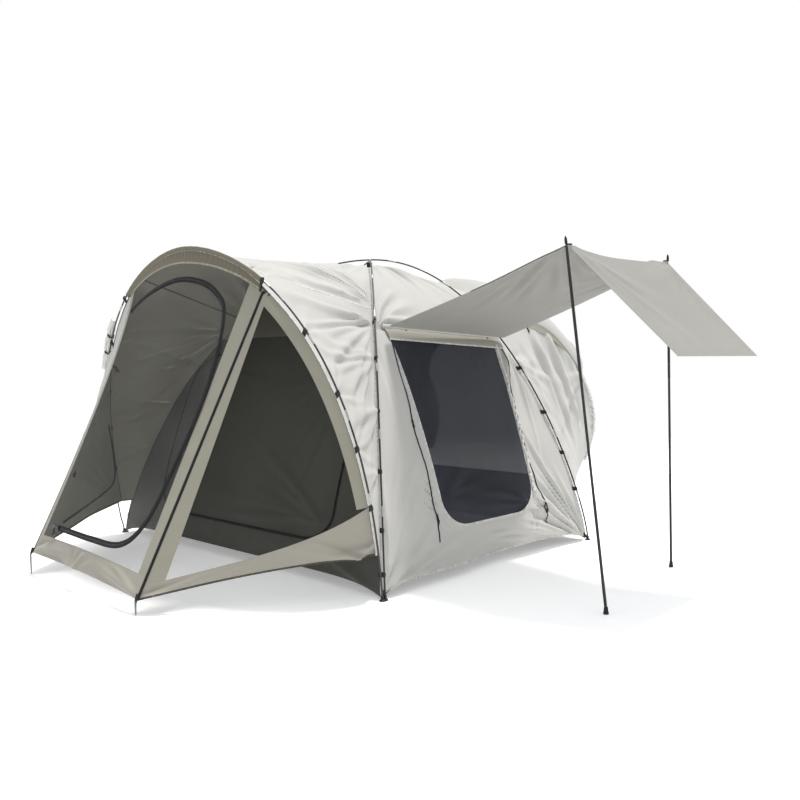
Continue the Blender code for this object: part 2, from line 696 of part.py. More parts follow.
def hump_profile(size, v):
    # Along the middle it rises over HUMP_RISE; along the seams it rises all the way.
    # From there it falls to the rim.
    start, top = HUMP_RISE
    at_middle = np.clip((v - start) / (top - start), 0, 1)
    at_middle = at_middle ** 2 * (3 - 2 * at_middle)
    at_seam = np.sin(np.clip(v / top, 0, 1) * math.pi / 2)
    share = np.clip(size * SLEEVE_T / SEAM_T, 0, 1) ** 2
    down = np.clip((1 - v) / (1 - top), 0, 1)
    return (at_middle + (at_seam - at_middle) * share) * np.sin(down * math.pi / 2) ** 0.9


def sleeve_at(u, v):
    # v from 0 at the rear legs to 1 at the rim.
    u, v = np.broadcast_arrays(np.asarray(u, float), np.asarray(v, float))
    t = np.abs(u) * SLEEVE_T
    root = np.where(u[..., None] < 0, cloth_leg(-1, True, t), cloth_leg(1, True, t))
    rim = rim_at(u)
    point = root + (rim - root) * v[..., None]
    lift = hump_height(np.abs(u)) * hump_profile(np.abs(u), v)
    side = 0.05 * np.sin(math.pi * v) * np.clip((np.abs(u) - 0.3) / 0.3, 0, 1)
    point = point + np.stack([-np.sign(u) * side * 0.3, 0 * u, lift], -1)
    return point


def build_sleeve():
    seam_u = SEAM_T / SLEEVE_T
    v = np.linspace(0.012, 0.985, 13)
    roof_u = np.linspace(-seam_u + 0.012, seam_u - 0.012, 13)
    panel("sleeve_roof", sleeve_at(roof_u[:, None], v[None, :]), GREY_CLOTH)
    for label, side in (("near", 1), ("far", -1)):
        u = side * np.linspace(seam_u + 0.028, 0.995, 9)
        panel("sleeve_side_" + label, sleeve_at(u[:, None], v[None, :]), GREY_CLOTH)
        u = side * np.linspace(seam_u - 0.004, seam_u + 0.020, 3)
        run = np.linspace(0.02, 0.985, 13)
        panel("sleeve_trim_" + label, sleeve_at(u[:, None], run[None, :]), KHAKI_CLOTH)
    u = np.linspace(-1, 1, 41)
    line = rim_at(u)
    line[:, 1] += RIM_R + 0.012
    tube("sleeve_rim", line, RIM_R, GREY_CLOTH, sides=6)


# Awning

def build_awning():
    # One cloth: from the wall to the pole tips, and on down as a flap beyond them.
    wall = np.array([[AWNING_WALL_X, AWNING_Y[0], AWNING_WALL_Z[0]],
                     [AWNING_WALL_X, AWNING_Y[1], AWNING_WALL_Z[1]]])
    tops = np.array(AWNING_POLE_TOP) + np.array([[0.0, AWNING_CLEAR, 0.0], [0.0, -AWNING_CLEAR, 0.0]])
    share = np.linspace(0, 1, 9)[:, None]
    along = wall[0] + (wall[1] - wall[0]) * share
    ridge = tops[0] + (tops[1] - tops[0]) * share
    sag = np.sin(math.pi * share)
    ridge = ridge - AWNING_SAG * sag * np.array([0.0, 0.0, 1.0])
    edge = np.array(AWNING_EDGE)
    lower = edge[0] + (edge[1] - edge[0]) * share
    out = np.linspace(0.006, 1.0, 9)[None, :, None]
    roof = along[:, None] + (ridge - along)[:, None] * out
    roof[..., 2] -= AWNING_SAG * np.sin(math.pi * out[..., 0]) * (0.4 + 0.6 * sag)
    down = np.linspace(0.0, 1.0, 7)[None, 1:, None]
    flap = ridge[:, None] + (lower - ridge)[:, None] * down
    panel("awning", np.concatenate([roof, flap], 1), GREY_CLOTH)


def centre_on_ground():
    # Puts the origin on the ground in the middle of the tent's outline.
    pieces = [item for item in bpy.data.objects if item.type == "MESH"]
    points = np.concatenate([[vertex.co for vertex in item.data.vertices] for item in pieces])
    low, high = points.min(axis=0), points.max(axis=0)
    for item in pieces:
        item.location = (-(low[0] + high[0]) / 2, -(low[1] + high[1]) / 2, -low[2])


def build_tent():
    clear_scene()
    build_poles()
    build_feet()
    build_hub_strap()
    build_awning_poles()
    build_porch_pegs()
    build_porch_front()
    build_front_zip()
    build_porch_sides()
    build_tied_flap()
    build_walls()
    build_roof()
    build_sleeve()
    build_awning()
    centre_on_ground()


build_tent()
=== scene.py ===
import math

import bpy
import numpy as np
from mathutils import Matrix, Vector


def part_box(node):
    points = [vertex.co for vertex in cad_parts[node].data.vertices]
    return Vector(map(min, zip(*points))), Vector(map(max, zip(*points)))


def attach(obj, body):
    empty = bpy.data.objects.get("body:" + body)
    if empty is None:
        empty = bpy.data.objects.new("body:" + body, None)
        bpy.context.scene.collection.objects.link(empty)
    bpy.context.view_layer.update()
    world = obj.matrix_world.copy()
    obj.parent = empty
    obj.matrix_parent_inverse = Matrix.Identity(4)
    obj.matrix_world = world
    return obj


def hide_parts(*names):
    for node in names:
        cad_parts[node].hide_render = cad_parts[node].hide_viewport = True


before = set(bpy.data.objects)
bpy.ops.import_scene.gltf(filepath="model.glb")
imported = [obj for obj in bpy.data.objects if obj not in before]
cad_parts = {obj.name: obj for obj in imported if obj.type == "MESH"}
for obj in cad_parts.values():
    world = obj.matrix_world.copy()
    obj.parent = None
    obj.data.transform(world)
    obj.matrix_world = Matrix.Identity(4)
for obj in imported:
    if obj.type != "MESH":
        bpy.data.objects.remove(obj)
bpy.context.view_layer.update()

scene = bpy.context.scene

# The tent's own frame: x = 0 is its centreline, y = 0 the line between its front feet, the ground
# is z = 0, +x is the awning side (near) and -y the porch front. Everything is worked out in that
# frame and moved by tentOrigin at the end.


def boxCentre(node):
    low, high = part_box(node)
    return np.array((low + high) / 2)


frontNear, frontFar = boxCentre("foot_front_near"), boxCentre("foot_front_far")
tentOrigin = np.array([(frontNear[0] + frontFar[0]) / 2, frontNear[1], 0.0])
poleRadius = 0.0055

tent = {
    "halfWidth": (frontNear[0] - frontFar[0]) / 2,
    "roomLength": boxCentre("foot_rear_near")[1] - frontNear[1],
    "hubY": boxCentre("hub_strap")[1] - frontNear[1],
    "hubHeight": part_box("roof_pole_under")[1].z - poleRadius,
    "hoopHeight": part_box("front_hoop_pole")[1].z - poleRadius,
    "hoopLean": -0.33,
    "legCurve": (0.666, 1.004, 0.12),
    "hoopCurve": (0.325, 1.118, 0.821),
    "footGap": 0.011,
    "footTop": 0.009,
    "clothIn": 0.020,          # the cloth hangs this far inside the room's poles and the crown
    "archIn": 0.036,           # and this far inside the hoop's sides
    "archT": (0.34, 0.48),
    "hubDrop": 0.060,          # and this far under their crossing
    "eaveZ": 1.50,
    "eaveBulge": 0.055,
    "hemLow": 0.014,
    "hemRise": 0.058,
    "gussetZ": 0.26,           # lower edge of the gussets and of the porch's side hems
    "seamT": 0.30,             # place of the roof seam along hoop and legs
}

camera = {
    "place": (4.654, -3.144, 1.285),   # in the tent's frame, metres
    "azimuth": 44.224, "pitch": -2.409, "roll": -0.792,   # degrees
    "focal": 830.79 / 800 * 36.0,      # millimetres, on a 36 mm sensor
}

light = {
    "sky": 0.98, "skyColour": (0.96, 0.98, 1.0),
    "sun": 4.0, "sunColour": (1.0, 0.98, 0.95), "sunFrom": (0.02, 0.30, 1.0), "sunSize": 9.0,
}


# Shader maths

class Signal:
    # A shader socket that numbers and other sockets can be added to, taken from and so on.
    def __init__(self, tree, socket=None):
        self.tree = tree
        self.socket = socket

    def node(self, kind, settings=None, sockets=None, out=0):
        made = self.tree.nodes.new(kind)
        for key, value in (settings or {}).items():
            if key == "stops":
                ramp = made.color_ramp.elements
                while len(ramp) < len(value):
                    ramp.new(0.5)
                for stop, (place, colour) in zip(ramp, value):
                    stop.position, stop.color = place, colour
            else:
                setattr(made, key, value)
        for key, value in (sockets or {}).items():
            if isinstance(value, Signal):
                self.tree.links.new(value.socket, made.inputs[key])
            else:
                made.inputs[key].default_value = value
        return Signal(self.tree, made.outputs[out])

    def maths(self, operation, *values):
        return self.node("ShaderNodeMath", {"operation": operation}, dict(enumerate(values)))

    def mix(self, first, second):
        # Goes from the first colour to the second as this signal goes from 0 to 1.
        return self.node("ShaderNodeMix", {"data_type": "RGBA"}, {0: self, 6: first, 7: second}, 2)

    def __add__(self, other):
        return self.maths("ADD", self, other)

    def __radd__(self, other):
        return self.maths("ADD", other, self)

    def __sub__(self, other):
        return self.maths("SUBTRACT", self, other)

    def __rsub__(self, other):
        return self.maths("SUBTRACT", other, self)

    def __mul__(self, other):
        return self.maths("MULTIPLY", self, other)

    def __rmul__(self, other):
        return self.maths("MULTIPLY", other, self)

    def __truediv__(self, other):
        return self.maths("DIVIDE", self, other)

    def __pow__(self, other):
        return self.maths("POWER", self, other)

    def sine(self):
        return self.maths("SINE", self)

    def band(self, low, high):
        # 0 below low, 1 above high, and smooth between them.
        return self.node("ShaderNodeMapRange", {"interpolation_type": "SMOOTHSTEP"},
                         {0: self, 1: low, 2: high, 3: 0.0, 4: 1.0})


def rgba(colour, by=1.0):
    return tuple(c * by for c in colour) + (1.0,)


def newMaterial(name):
    material = bpy.data.materials.new(name)
    material.use_nodes = True
    return material, material.node_tree.nodes["Principled BSDF"], Signal(material.node_tree)


def place(start, which="Object"):
    outs = {"Object": 3, "UV": 2}
    return start.node("ShaderNodeTexCoord", out=outs[which])


def axes(start, vector):
    return [start.node("ShaderNodeSeparateXYZ", sockets={0: vector}, out=i) for i in range(3)]


def noise(start, vector, scale, detail=3.0, stretch=None):
    if stretch:
        vector = start.node("ShaderNodeMapping", sockets={"Vector": vector, "Scale": stretch})
    return start.node("ShaderNodeTexNoise", sockets={"Vector": vector, "Scale": scale, "Detail": detail})


def plug(start, shader, socket, value):
    if isinstance(value, Signal):
        start.tree.links.new(value.socket, shader.inputs[socket])
    else:
        shader.inputs[socket].default_value = value


def bump(start, shader, height, strength, distance):
    normal = start.node("ShaderNodeBump", sockets={"Strength": strength, "Distance": distance, "Height": height})
    start.tree.links.new(normal.socket, shader.inputs["Normal"])
    return normal


def letLightThrough(start, shader, colour, share, normal=None):
    # Part of the light that falls on one face leaves by the other, as in thin cloth.
    tree = start.tree
    glow = tree.nodes.new("ShaderNodeBsdfTranslucent")
    glow.inputs["Color"].default_value = colour
    if normal:
        tree.links.new(normal.socket, glow.inputs["Normal"])
    both = tree.nodes.new("ShaderNodeMixShader")
    both.inputs[0].default_value = share
    tree.links.new(shader.outputs[0], both.inputs[1])
    tree.links.new(glow.outputs[0], both.inputs[2])
    tree.links.new(both.outputs[0], tree.nodes["Material Output"].inputs["Surface"])


def clothMaterial(name, look):
    # Plain weave with a thin coating: threads, soft shading over the panel, small creases and
    # dust along the ground.
    material, shader, start = newMaterial(name)
    spot = place(start)
    threads = axes(start, place(start, "UV"))
    twist = 2 * math.pi / look["thread"]
    weave = (threads[0] * twist).sine() * (threads[1] * twist).sine()
    cloud = noise(start, spot, 1.7, 2.0)
    grain = noise(start, spot, 38.0, 2.0)
    crease = noise(start, spot, 9.0, 4.0, stretch=look["creases"])
    height = axes(start, spot)[2]
    dust = (1.0 - height.band(0.02, 0.30)) * noise(start, spot, 6.0, 4.0).band(0.35, 0.75) * look["dust"]
    tone = cloud.band(0.30, 0.70) * 0.7 + grain.band(0.25, 0.75) * 0.3
    clean = tone.mix(rgba(look["colour"], 0.955), rgba(look["colour"], 1.03))
    colour = dust.mix(clean, rgba(look["dustColour"]))
    plug(start, shader, "Base Color", colour)
    plug(start, shader, "Roughness", 0.74 + cloud * 0.12)
    shader.inputs["Specular IOR Level"].default_value = 0.3
    shader.inputs["Sheen Weight"].default_value = look["sheen"]
    shader.inputs["Sheen Roughness"].default_value = 0.6
    relief = weave * 0.02 + crease * 0.8 + grain * 0.12
    normal = bump(start, shader, relief, look["relief"], 0.006)
    letLightThrough(start, shader, rgba(look["glow"]), look["through"], normal)
    return material


def meshMaterial(name, look):
    # Fine knitted net, seen as one tone with a faint moire, part of the light passing through.
    material, shader, start = newMaterial(name)
    spot = place(start)
    threads = axes(start, place(start, "UV"))
    twist = 2 * math.pi / look["pitch"]
    net = (threads[0] * twist).sine() * (threads[1] * twist).sine()
    cloud = noise(start, spot, 2.3, 3.0)
    fold = noise(start, spot, 5.0, 3.0, stretch=(1.0, 0.6, 1.6))
    colour = cloud.band(0.3, 0.7).mix(rgba(look["colour"], 0.85), rgba(look["colour"], 1.15))
    plug(start, shader, "Base Color", colour)
    plug(start, shader, "Alpha", look["cover"] + (cloud - 0.5) * look["vary"])
    shader.inputs["Roughness"].default_value = 0.75
    shader.inputs["Specular IOR Level"].default_value = 0.15
    bump(start, shader, net * 0.06 + fold, 0.25, 0.004)
    return material


def webbingMaterial(name, colour, rib=0.0022, roughness=0.8):
    # Woven tape: ribs across it and a slightly raised selvage, both from its own UV.
    material, shader, start = newMaterial(name)
    along, across, _ = axes(start, place(start, "UV"))
    ribs = (along * (2 * math.pi / rib)).sine()
    wear = noise(start, place(start), 60.0, 3.0)
    plug(start, shader, "Base Color", wear.band(0.3, 0.8).mix(rgba(colour, 0.8), rgba(colour, 1.5)))
    shader.inputs["Roughness"].default_value = roughness
    shader.inputs["Specular IOR Level"].default_value = 0.2
    bump(start, shader, ribs * 0.5 + wear * 0.4, 0.35, 0.0008)
    return material


def zipMaterial(name, look):
    # Black tape with coil teeth down its middle, from its own UV: u along it, v across it.
    material, shader, start = newMaterial(name)
    along, across, _ = axes(start, place(start, "UV"))
    middle = 1.0 - (across - 0.5).maths("ABSOLUTE", across - 0.5).band(0.04, 0.10)
    teeth = (along * (2 * math.pi / look["tooth"])).sine()
    wear = noise(start, place(start), 45.0, 3.0)
    plug(start, shader, "Base Color", wear.band(0.3, 0.8).mix(rgba(look["colour"], 0.7), rgba(look["colour"], 1.6)))
    plug(start, shader, "Roughness", 0.75 - middle * 0.35)
    shader.inputs["Specular IOR Level"].default_value = 0.22
    bump(start, shader, middle * teeth + wear * 0.2, 0.4, 0.001)
    return material


def rodMaterial(name, colour, roughness, metallic=0.0, coat=0.0):
    # Drawn or coated rod: fine lines along it, small scuffs.
    material, shader, start = newMaterial(name)
    spot = place(start)
    scuff = noise(start, spot, 55.0, 4.0)
    lines = noise(start, spot, 240.0, 2.0, stretch=(1.0, 1.0, 0.05))
    plug(start, shader, "Base Color", scuff.band(0.55, 0.8).mix(rgba(colour), rgba(colour, 1.6)))
    plug(start, shader, "Roughness", roughness + (scuff - 0.5) * 0.25)
    shader.inputs["Metallic"].default_value = metallic
    shader.inputs["Coat Weight"].default_value = coat
    shader.inputs["Specular IOR Level"].default_value = 0.3
    bump(start, shader, lines * 0.6 + scuff * 0.4, 0.15, 0.0006)
    return material


def floorMaterial(name, look):
    # Pale and even; far from the tent it gives way to the white beyond.
    material, shader, start = newMaterial(name)
    spot = place(start)
    distance = start.node("ShaderNodeVectorMath", {"operation": "LENGTH"}, {0: spot}, out=1)
    plug(start, shader, "Base Color", rgba(look["colour"]))
    shader.inputs["Roughness"].default_value = 0.9
    shader.inputs["Emission Color"].default_value = rgba(look["colour"])
    shader.inputs["Emission Strength"].default_value = look["glow"]
    tree = start.tree
    clear = tree.nodes.new("ShaderNodeBsdfTransparent")
    both = tree.nodes.new("ShaderNodeMixShader")
    fade = distance.band(look["fadeFrom"], look["fadeTo"])
    tree.links.new(fade.socket, both.inputs[0])
    tree.links.new(shader.outputs[0], both.inputs[1])
    tree.links.new(clear.outputs[0], both.inputs[2])
    tree.links.new(both.outputs[0], tree.nodes["Material Output"].inputs["Surface"])
    return material


def cloth(colour, **changes):
    look = {"colour": colour, "glow": colour, "through": 0.28, "thread": 0.0036, "creases": (1.0, 1.0, 0.7),
            "dust": 0.22, "dustColour": (0.34, 0.31, 0.26), "sheen": 0.10, "relief": 0.30}
    return dict(look, **changes)


finishes = {
    "cloth": clothMaterial("warm grey cloth", cloth((0.555, 0.548, 0.525))),
    # Inner face: the cloth darkened to about a third, painted shade of the room's inside.
    "lining": clothMaterial("cloth inner face, painted shade", cloth((0.175, 0.170, 0.142), glow=(0.30, 0.29, 0.235), dust=0.1)),
    # Awning: the main cloth darkened, painted shade.
    "awning": clothMaterial("awning cloth darkened as painted shade", cloth((0.345, 0.338, 0.315), through=0.34)),
    "khaki": clothMaterial("khaki cloth", cloth((0.275, 0.265, 0.215), through=0.15)),
    # Inner face of the khaki: darkened, painted shade of the inside.
    "khakiLining": clothMaterial("khaki cloth inner face, painted shade", cloth((0.15, 0.142, 0.112), through=0.12)),
    # Khaki lightened as painted light; used for the sills, the far front strip and the awning header.
    "khakiPaintedLight": clothMaterial("khaki cloth lightened as painted light", cloth((0.30, 0.284, 0.243), through=0.16)),
    # Visor and hoop sleeve: khaki darkened to brown, painted shade of their downward faces.
    "visor": clothMaterial("visor cloth darkened as painted shade", cloth((0.140, 0.123, 0.088), through=0.10)),
    # Partition and its door: the cloth darkened near black, painted deep shade.
    "inner": clothMaterial("partition cloth darkened as painted shade", cloth((0.042, 0.041, 0.034), through=0.06, dust=0.05, relief=0.4)),
    # Gathered rims, roll and piping: the cloth lightened, painted light where they catch the sun.
    "gather": clothMaterial("gathered cloth lightened as painted light", cloth((0.68, 0.675, 0.655), through=0.22)),
    "darkMesh": meshMaterial("charcoal net", {"colour": (0.024, 0.027, 0.034), "cover": 0.86, "vary": 0.10,
                                              "pitch": 0.0030}),
    "clearMesh": meshMaterial("clear net", {"colour": (0.30, 0.30, 0.29), "cover": 0.05, "vary": 0.04,
                                            "pitch": 0.0030}),
    "webbing": webbingMaterial("black webbing", (0.018, 0.018, 0.020)),
    "greyTape": webbingMaterial("grey edge tape", (0.45, 0.445, 0.425)),
    # Inner copy of the grey tape, darkened as painted shade.
    "innerTape": webbingMaterial("inner seam tape, painted shade", (0.075, 0.072, 0.060)),
    "khakiTape": webbingMaterial("khaki edge tape", (0.25, 0.235, 0.185)),
    # Dark tape; along the awning's front edge it is painted shade of the hem's underside.
    "darkTape": webbingMaterial("dark edge tape and painted hem shade", (0.055, 0.050, 0.042)),
    "zip": zipMaterial("zip", {"colour": (0.010, 0.010, 0.011), "tooth": 0.003}),
    "rod": rodMaterial("glass fibre rod", (0.018, 0.018, 0.020), 0.42, coat=0.2),
    "ferrule": rodMaterial("bare metal sleeve", (0.36, 0.36, 0.355), 0.42, metallic=1.0),
    "steel": rodMaterial("steel peg", (0.16, 0.16, 0.16), 0.42, metallic=1.0),
    "coated": rodMaterial("black powder coat", (0.018, 0.018, 0.020), 0.45),
    "rubber": rodMaterial("rubber", (0.014, 0.014, 0.015), 0.72),
    "plastic": rodMaterial("black plastic", (0.012, 0.012, 0.013), 0.48),
}
print("finishes made")


# Meshes from arrays

def quadsOf(rows, cols, loop=False):
    # Corner numbers of the cells of a grid; a looped grid closes along its columns.
    i = np.arange(rows - 1)[:, None]
    j = np.arange(cols if loop else cols - 1)[None, :]
    k = (j + 1) % cols
    return np.stack([i * cols + j, i * cols + k, (i + 1) * cols + k, (i + 1) * cols + j], -1).reshape(-1, 4)


def unit(v):
    return v / np.maximum(np.linalg.norm(v, axis=-1, keepdims=True), 1e-9)


def gridNormals(grid, loop=False):
    # Cross product of the two directions of the grid, point by point.
    wide = np.concatenate([grid[:, -1:], grid, grid[:, :1]], 1) if loop else grid
    normal = np.cross(np.gradient(wide, axis=1), np.gradient(wide, axis=0))
    return unit(normal[:, 1:-1] if loop else normal)


def chartOf(grid, loop=False):
    # Length along the rows and along the columns, in metres: the cloth's own UV.
    step = np.linalg.norm(np.diff(grid, axis=1), axis=-1)
    across = np.concatenate([np.zeros((len(grid), 1)), np.cumsum(step, 1)], 1)
    step = np.linalg.norm(np.diff(grid, axis=0), axis=-1)
    down = np.concatenate([np.zeros((1, grid.shape[1])), np.cumsum(step, 0)], 0)
    return np.stack([across, down], -1)


def volumeOf(points, quads):
    a, b, c, d = (points[quads[:, i]] for i in range(4))
    return float((a * np.cross(b, c)).sum() + (a * np.cross(c, d)).sum()) / 6


def joined(parts):
    # One part from several: points, quads, UV and the finish of each quad.
    offset, out = 0, ([], [], [], [])
    for points, quads, uv, slots in parts:
        out[0].append(points)
        out[1].append(quads + offset)
        out[2].append(uv)
        out[3].append(slots)
        offset += len(points)
    return tuple(np.concatenate(o) for o in out)


def addPiece(name, part, materials, replaces=(), smooth=True):
    points, quads, uv, slots = part
    mesh = bpy.data.meshes.new(name)
    mesh.vertices.add(len(points))
    mesh.loops.add(quads.size)
    mesh.polygons.add(len(quads))
    mesh.vertices.foreach_set("co", (points + tentOrigin).astype(np.float32).ravel())
    mesh.loops.foreach_set("vertex_index", quads.astype(np.int32).ravel())
    mesh.polygons.foreach_set("loop_start", np.arange(0, quads.size, 4, dtype=np.int32))
    mesh.polygons.foreach_set("material_index", slots.astype(np.int32))
    mesh.update(calc_edges=True)
    layer = mesh.uv_layers.new(name="UVMap")
    layer.data.foreach_set("uv", uv[quads.ravel()].astype(np.float32).ravel())
    if smooth:
        mesh.shade_smooth()
        mesh.set_sharp_from_angle(angle=math.radians(50))
    for key in materials:
        mesh.materials.append(finishes[key])
    piece = bpy.data.objects.new(name, mesh)
    scene.collection.objects.link(piece)
    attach(piece, "root")
    if replaces:
        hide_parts(*replaces)
    return piece


def clothPart(grid, outside, thickness=0.0014, loop=False):
    # The sheet and a copy of it one thickness further in, joined round their edges. Outside is
    # a point or a direction that the outer face looks to.
    rows, cols = grid.shape[:2]
    normal = gridNormals(grid, loop)
    toward = outside if np.ndim(outside) > 1 else np.asarray(outside, float)
    if float((normal * toward).sum(-1).mean()) < 0:
        grid = grid[:, ::-1]
        normal = gridNormals(grid, loop)
    chart = chartOf(grid)
    size = rows * cols
    points = np.concatenate([(grid + normal * thickness / 2).reshape(-1, 3),
                             (grid - normal * thickness / 2).reshape(-1, 3)])
    front = quadsOf(rows, cols, loop)
    back = front[:, ::-1] + size
    j = np.arange(cols if loop else cols - 1)
    k = (j + 1) % cols
    e = (rows - 1) * cols
    rims = [np.stack([k, j, size + j, size + k], -1), np.stack([e + j, e + k, size + e + k, size + e + j], -1)]
    if not loop:
        a = np.arange(rows - 1) * cols
        b = a + cols
        rims += [np.stack([a, b, size + b, size + a], -1),
                 np.stack([b + cols - 1, a + cols - 1, size + a + cols - 1, size + b + cols - 1], -1)]
    rims = np.concatenate(rims)
    quads = np.concatenate([front, back, rims])
    slots = np.concatenate([np.zeros(len(front)), np.ones(len(back)), np.zeros(len(rims))])
    if volumeOf(points, quads) < 0:
        quads = quads[:, ::-1]
    uv = np.concatenate([chart.reshape(-1, 2), chart.reshape(-1, 2)])
    return points, quads, uv, slots


def sweepPart(path, profile, upward, scale=None, slot=0, loop=False):
    # A closed outline, or one for each point, carried along a path. Its first number lies
    # across the path, its second along upward, the surface's normal there.
    path = np.asarray(path, float)
    upward = np.broadcast_to(np.asarray(upward, float), path.shape)
    if loop:
        ahead = unit(np.roll(path, -1, 0) - np.roll(path, 1, 0))
    else:
        ahead = unit(np.gradient(path, axis=0))
    upward = unit(upward - ahead * (upward * ahead).sum(-1, keepdims=True))
    side = np.cross(ahead, upward)
    scale = np.ones(len(path)) if scale is None else np.broadcast_to(scale, len(path))
    outline = np.broadcast_to(profile, (len(path),) + profile.shape[-2:]) * scale[:, None, None]
    grid = path[:, None] + side[:, None] * outline[..., :1] + upward[:, None] * outline[..., 1:]
    rows, cols = grid.shape[:2]
    quads = quadsOf(rows, cols, True)
    length = np.concatenate([[0.0], np.cumsum(np.linalg.norm(np.diff(path, axis=0), axis=-1))])
    across = outline[..., 0]
    across = (across - across.min()) / max(float(np.ptp(across)), 1e-6)
    uv = np.stack([np.repeat(length[:, None], cols, 1), across], -1).reshape(-1, 2)
    points = grid.reshape(-1, 3)
    if loop:
        j = np.arange(cols)
        k = (j + 1) % cols
        e = (rows - 1) * cols
        quads = np.concatenate([quads, np.stack([e + j, e + k, k, j], -1)])
    else:
        half = cols // 2
        i = np.arange(half - 1)
        cap = np.stack([i, i + 1, cols - 2 - i, cols - 1 - i], -1)
        quads = np.concatenate([quads, cap[:, ::-1], cap + (rows - 1) * cols])
    if volumeOf(points, quads) < 0:
        quads = quads[:, ::-1]
    return points, quads, uv, np.full(len(quads), slot)


def roundOutline(radius, sides=12):
    angle = np.arange(sides) * 2 * math.pi / sides
    return radius * np.stack([np.cos(angle), np.sin(angle)], -1)


def tapeOutline(width, thickness, lift=0.0):
    # Flat tape with thin edges, lying on the surface.
    half = width / 2
    top = np.array([[-1.0, 0.35], [-0.92, 0.85], [-0.5, 1.0], [0.5, 1.0], [0.92, 0.85], [1.0, 0.35]])
    low = np.array([[1.0, -0.35], [0.92, -0.85], [0.5, -1.0], [-0.5, -1.0], [-0.92, -0.85], [-1.0, -0.35]])
    outline = np.concatenate([top, low]) * np.array([half, thickness / 2])
    return outline + np.array([0.0, lift])


def zipOutline(width, thickness, coil, lift=0.0):
    # Tape with the coil standing up along its middle.
    half = width / 2
    top = np.array([[-half, 0.0], [-0.85 * half, thickness / 2], [-1.25 * coil, thickness / 2],
                    [-0.7 * coil, thickness / 2 + 0.7 * coil], [0.0, thickness / 2 + coil],
                    [0.7 * coil, thickness / 2 + 0.7 * coil], [1.25 * coil, thickness / 2],
                    [0.85 * half, thickness / 2], [half, 0.0]])
    low = top[1:-1][::-1] * np.array([1.0, 0.0]) - np.array([0.0, thickness / 2])
    return np.concatenate([top, low]) + np.array([0.0, lift])


# Folds, added along the surface's own normal

def smooth(x):
    x = np.clip(x, 0, 1)
    return x * x * (3 - 2 * x)


def billow(points, plane, wave, height, seed):
    # Sum of six sine waves in scattered directions, wave metres long on average.
    draw = np.random.default_rng(seed)
    p = points[..., plane]
    out = np.zeros(p.shape[:-1])
    for _ in range(6):
        heading = draw.uniform(0, 2 * math.pi)
        pace = 2 * math.pi / (wave * draw.uniform(0.6, 1.6))
        out += np.sin(pace * (p[..., 0] * math.cos(heading) + p[..., 1] * math.sin(heading))
                      + draw.uniform(0, 6.3)) / 6
    return height * out


def creases(points, plane, at, heading, count, reach, height, seed, width=0.016):
    # Narrow ridges that run out from one point between two headings in degrees, each with a
    # shallow valley beside it, bending a little and fading towards its end.
    draw = np.random.default_rng(seed)
    p = points[..., plane] - np.asarray(at, float)
    out = np.zeros(p.shape[:-1])
    for k in range(count):
        share = (k + draw.uniform(0.1, 0.9)) / count
        angle = math.radians(heading[0] + (heading[1] - heading[0]) * share)
        length = reach * draw.uniform(0.5, 1.0)
        run = p @ np.array([math.cos(angle), math.sin(angle)])
        off = p @ np.array([-math.sin(angle), math.cos(angle)])
        off = off + length * draw.uniform(-0.12, 0.12) * (run / length) ** 2
        wide = width * draw.uniform(0.7, 1.4) * (0.7 + 1.6 * np.clip(run / length, 0, 1))
        fade = smooth(run / (0.15 * length)) * smooth((length - run) / (0.7 * length))
        ridge = np.exp(-(off / wide) ** 2) - 0.45 * np.exp(-((off - 1.9 * wide) / wide) ** 2)
        out = out + height * draw.uniform(0.45, 1.0) * ridge * fade
    return out


def pleats(points, plane, start, end, width, wave, height, seed):
    # Folds that run side by side from start to end, in a band of that width.
    draw = np.random.default_rng(seed)
    start, end = np.asarray(start, float), np.asarray(end, float)
    along = end - start
    length = np.hypot(*along)
    along = along / length
    p = points[..., plane] - start
    run = p @ along
    off = p @ np.array([-along[1], along[0]])
    ripple = np.sin(2 * math.pi * off / wave + draw.uniform(0, 6.3) + 0.8 * np.sin(3.1 * run / length * math.pi))
    ripple += 0.4 * np.sin(2 * math.pi * off / wave * 1.7 + draw.uniform(0, 6.3))
    fade = np.exp(-(off / width) ** 2) * smooth(run / (0.25 * length)) * smooth((length - run) / (0.3 * length))
    return height * ripple * fade


def edgeHold(grid, sewn, reach=0.09):
    # 0 along the sewn edges and 1 away from them, by the length over the cloth.
    chart = chartOf(grid)
    gap = {"left": chart[..., 0], "right": chart[:, -1:, 0] - chart[..., 0],
           "first": chart[..., 1], "last": chart[-1:, :, 1] - chart[..., 1]}
    hold = np.ones(grid.shape[:2])
    for edge in sewn:
        hold *= smooth(gap[edge] / reach)
    return hold


def pushed(grid, amount, outside, loop=False):
    # Moves each point along the surface's normal, taken on the side that faces outside.
    normal = gridNormals(grid, loop)
    if float((normal * np.asarray(outside, float)).sum(-1).mean()) < 0:
        normal = -normal
    return grid + normal * amount[..., None]


def declareSheet(piece, grid):
    # The flat cut: its widest and longest measure over the cloth, and its area.
    chart = chartOf(grid)
    width, length = float(chart[:, -1, 0].max()), float(chart[-1, :, 1].max())
    a, b, c, d = grid[:-1, :-1], grid[:-1, 1:], grid[1:, 1:], grid[1:, :-1]
    area = float((np.linalg.norm(np.cross(b - a, d - a), axis=-1)
                  + np.linalg.norm(np.cross(b - c, d - c), axis=-1)).sum() / 2)
    area = min(max(area, 0.31 * width * length), width * length)
    print(f"sheet {piece.name}: {width:.2f} x {length:.2f} m, {area:.2f} square metres")


# The frame's curves, as the CAD has them

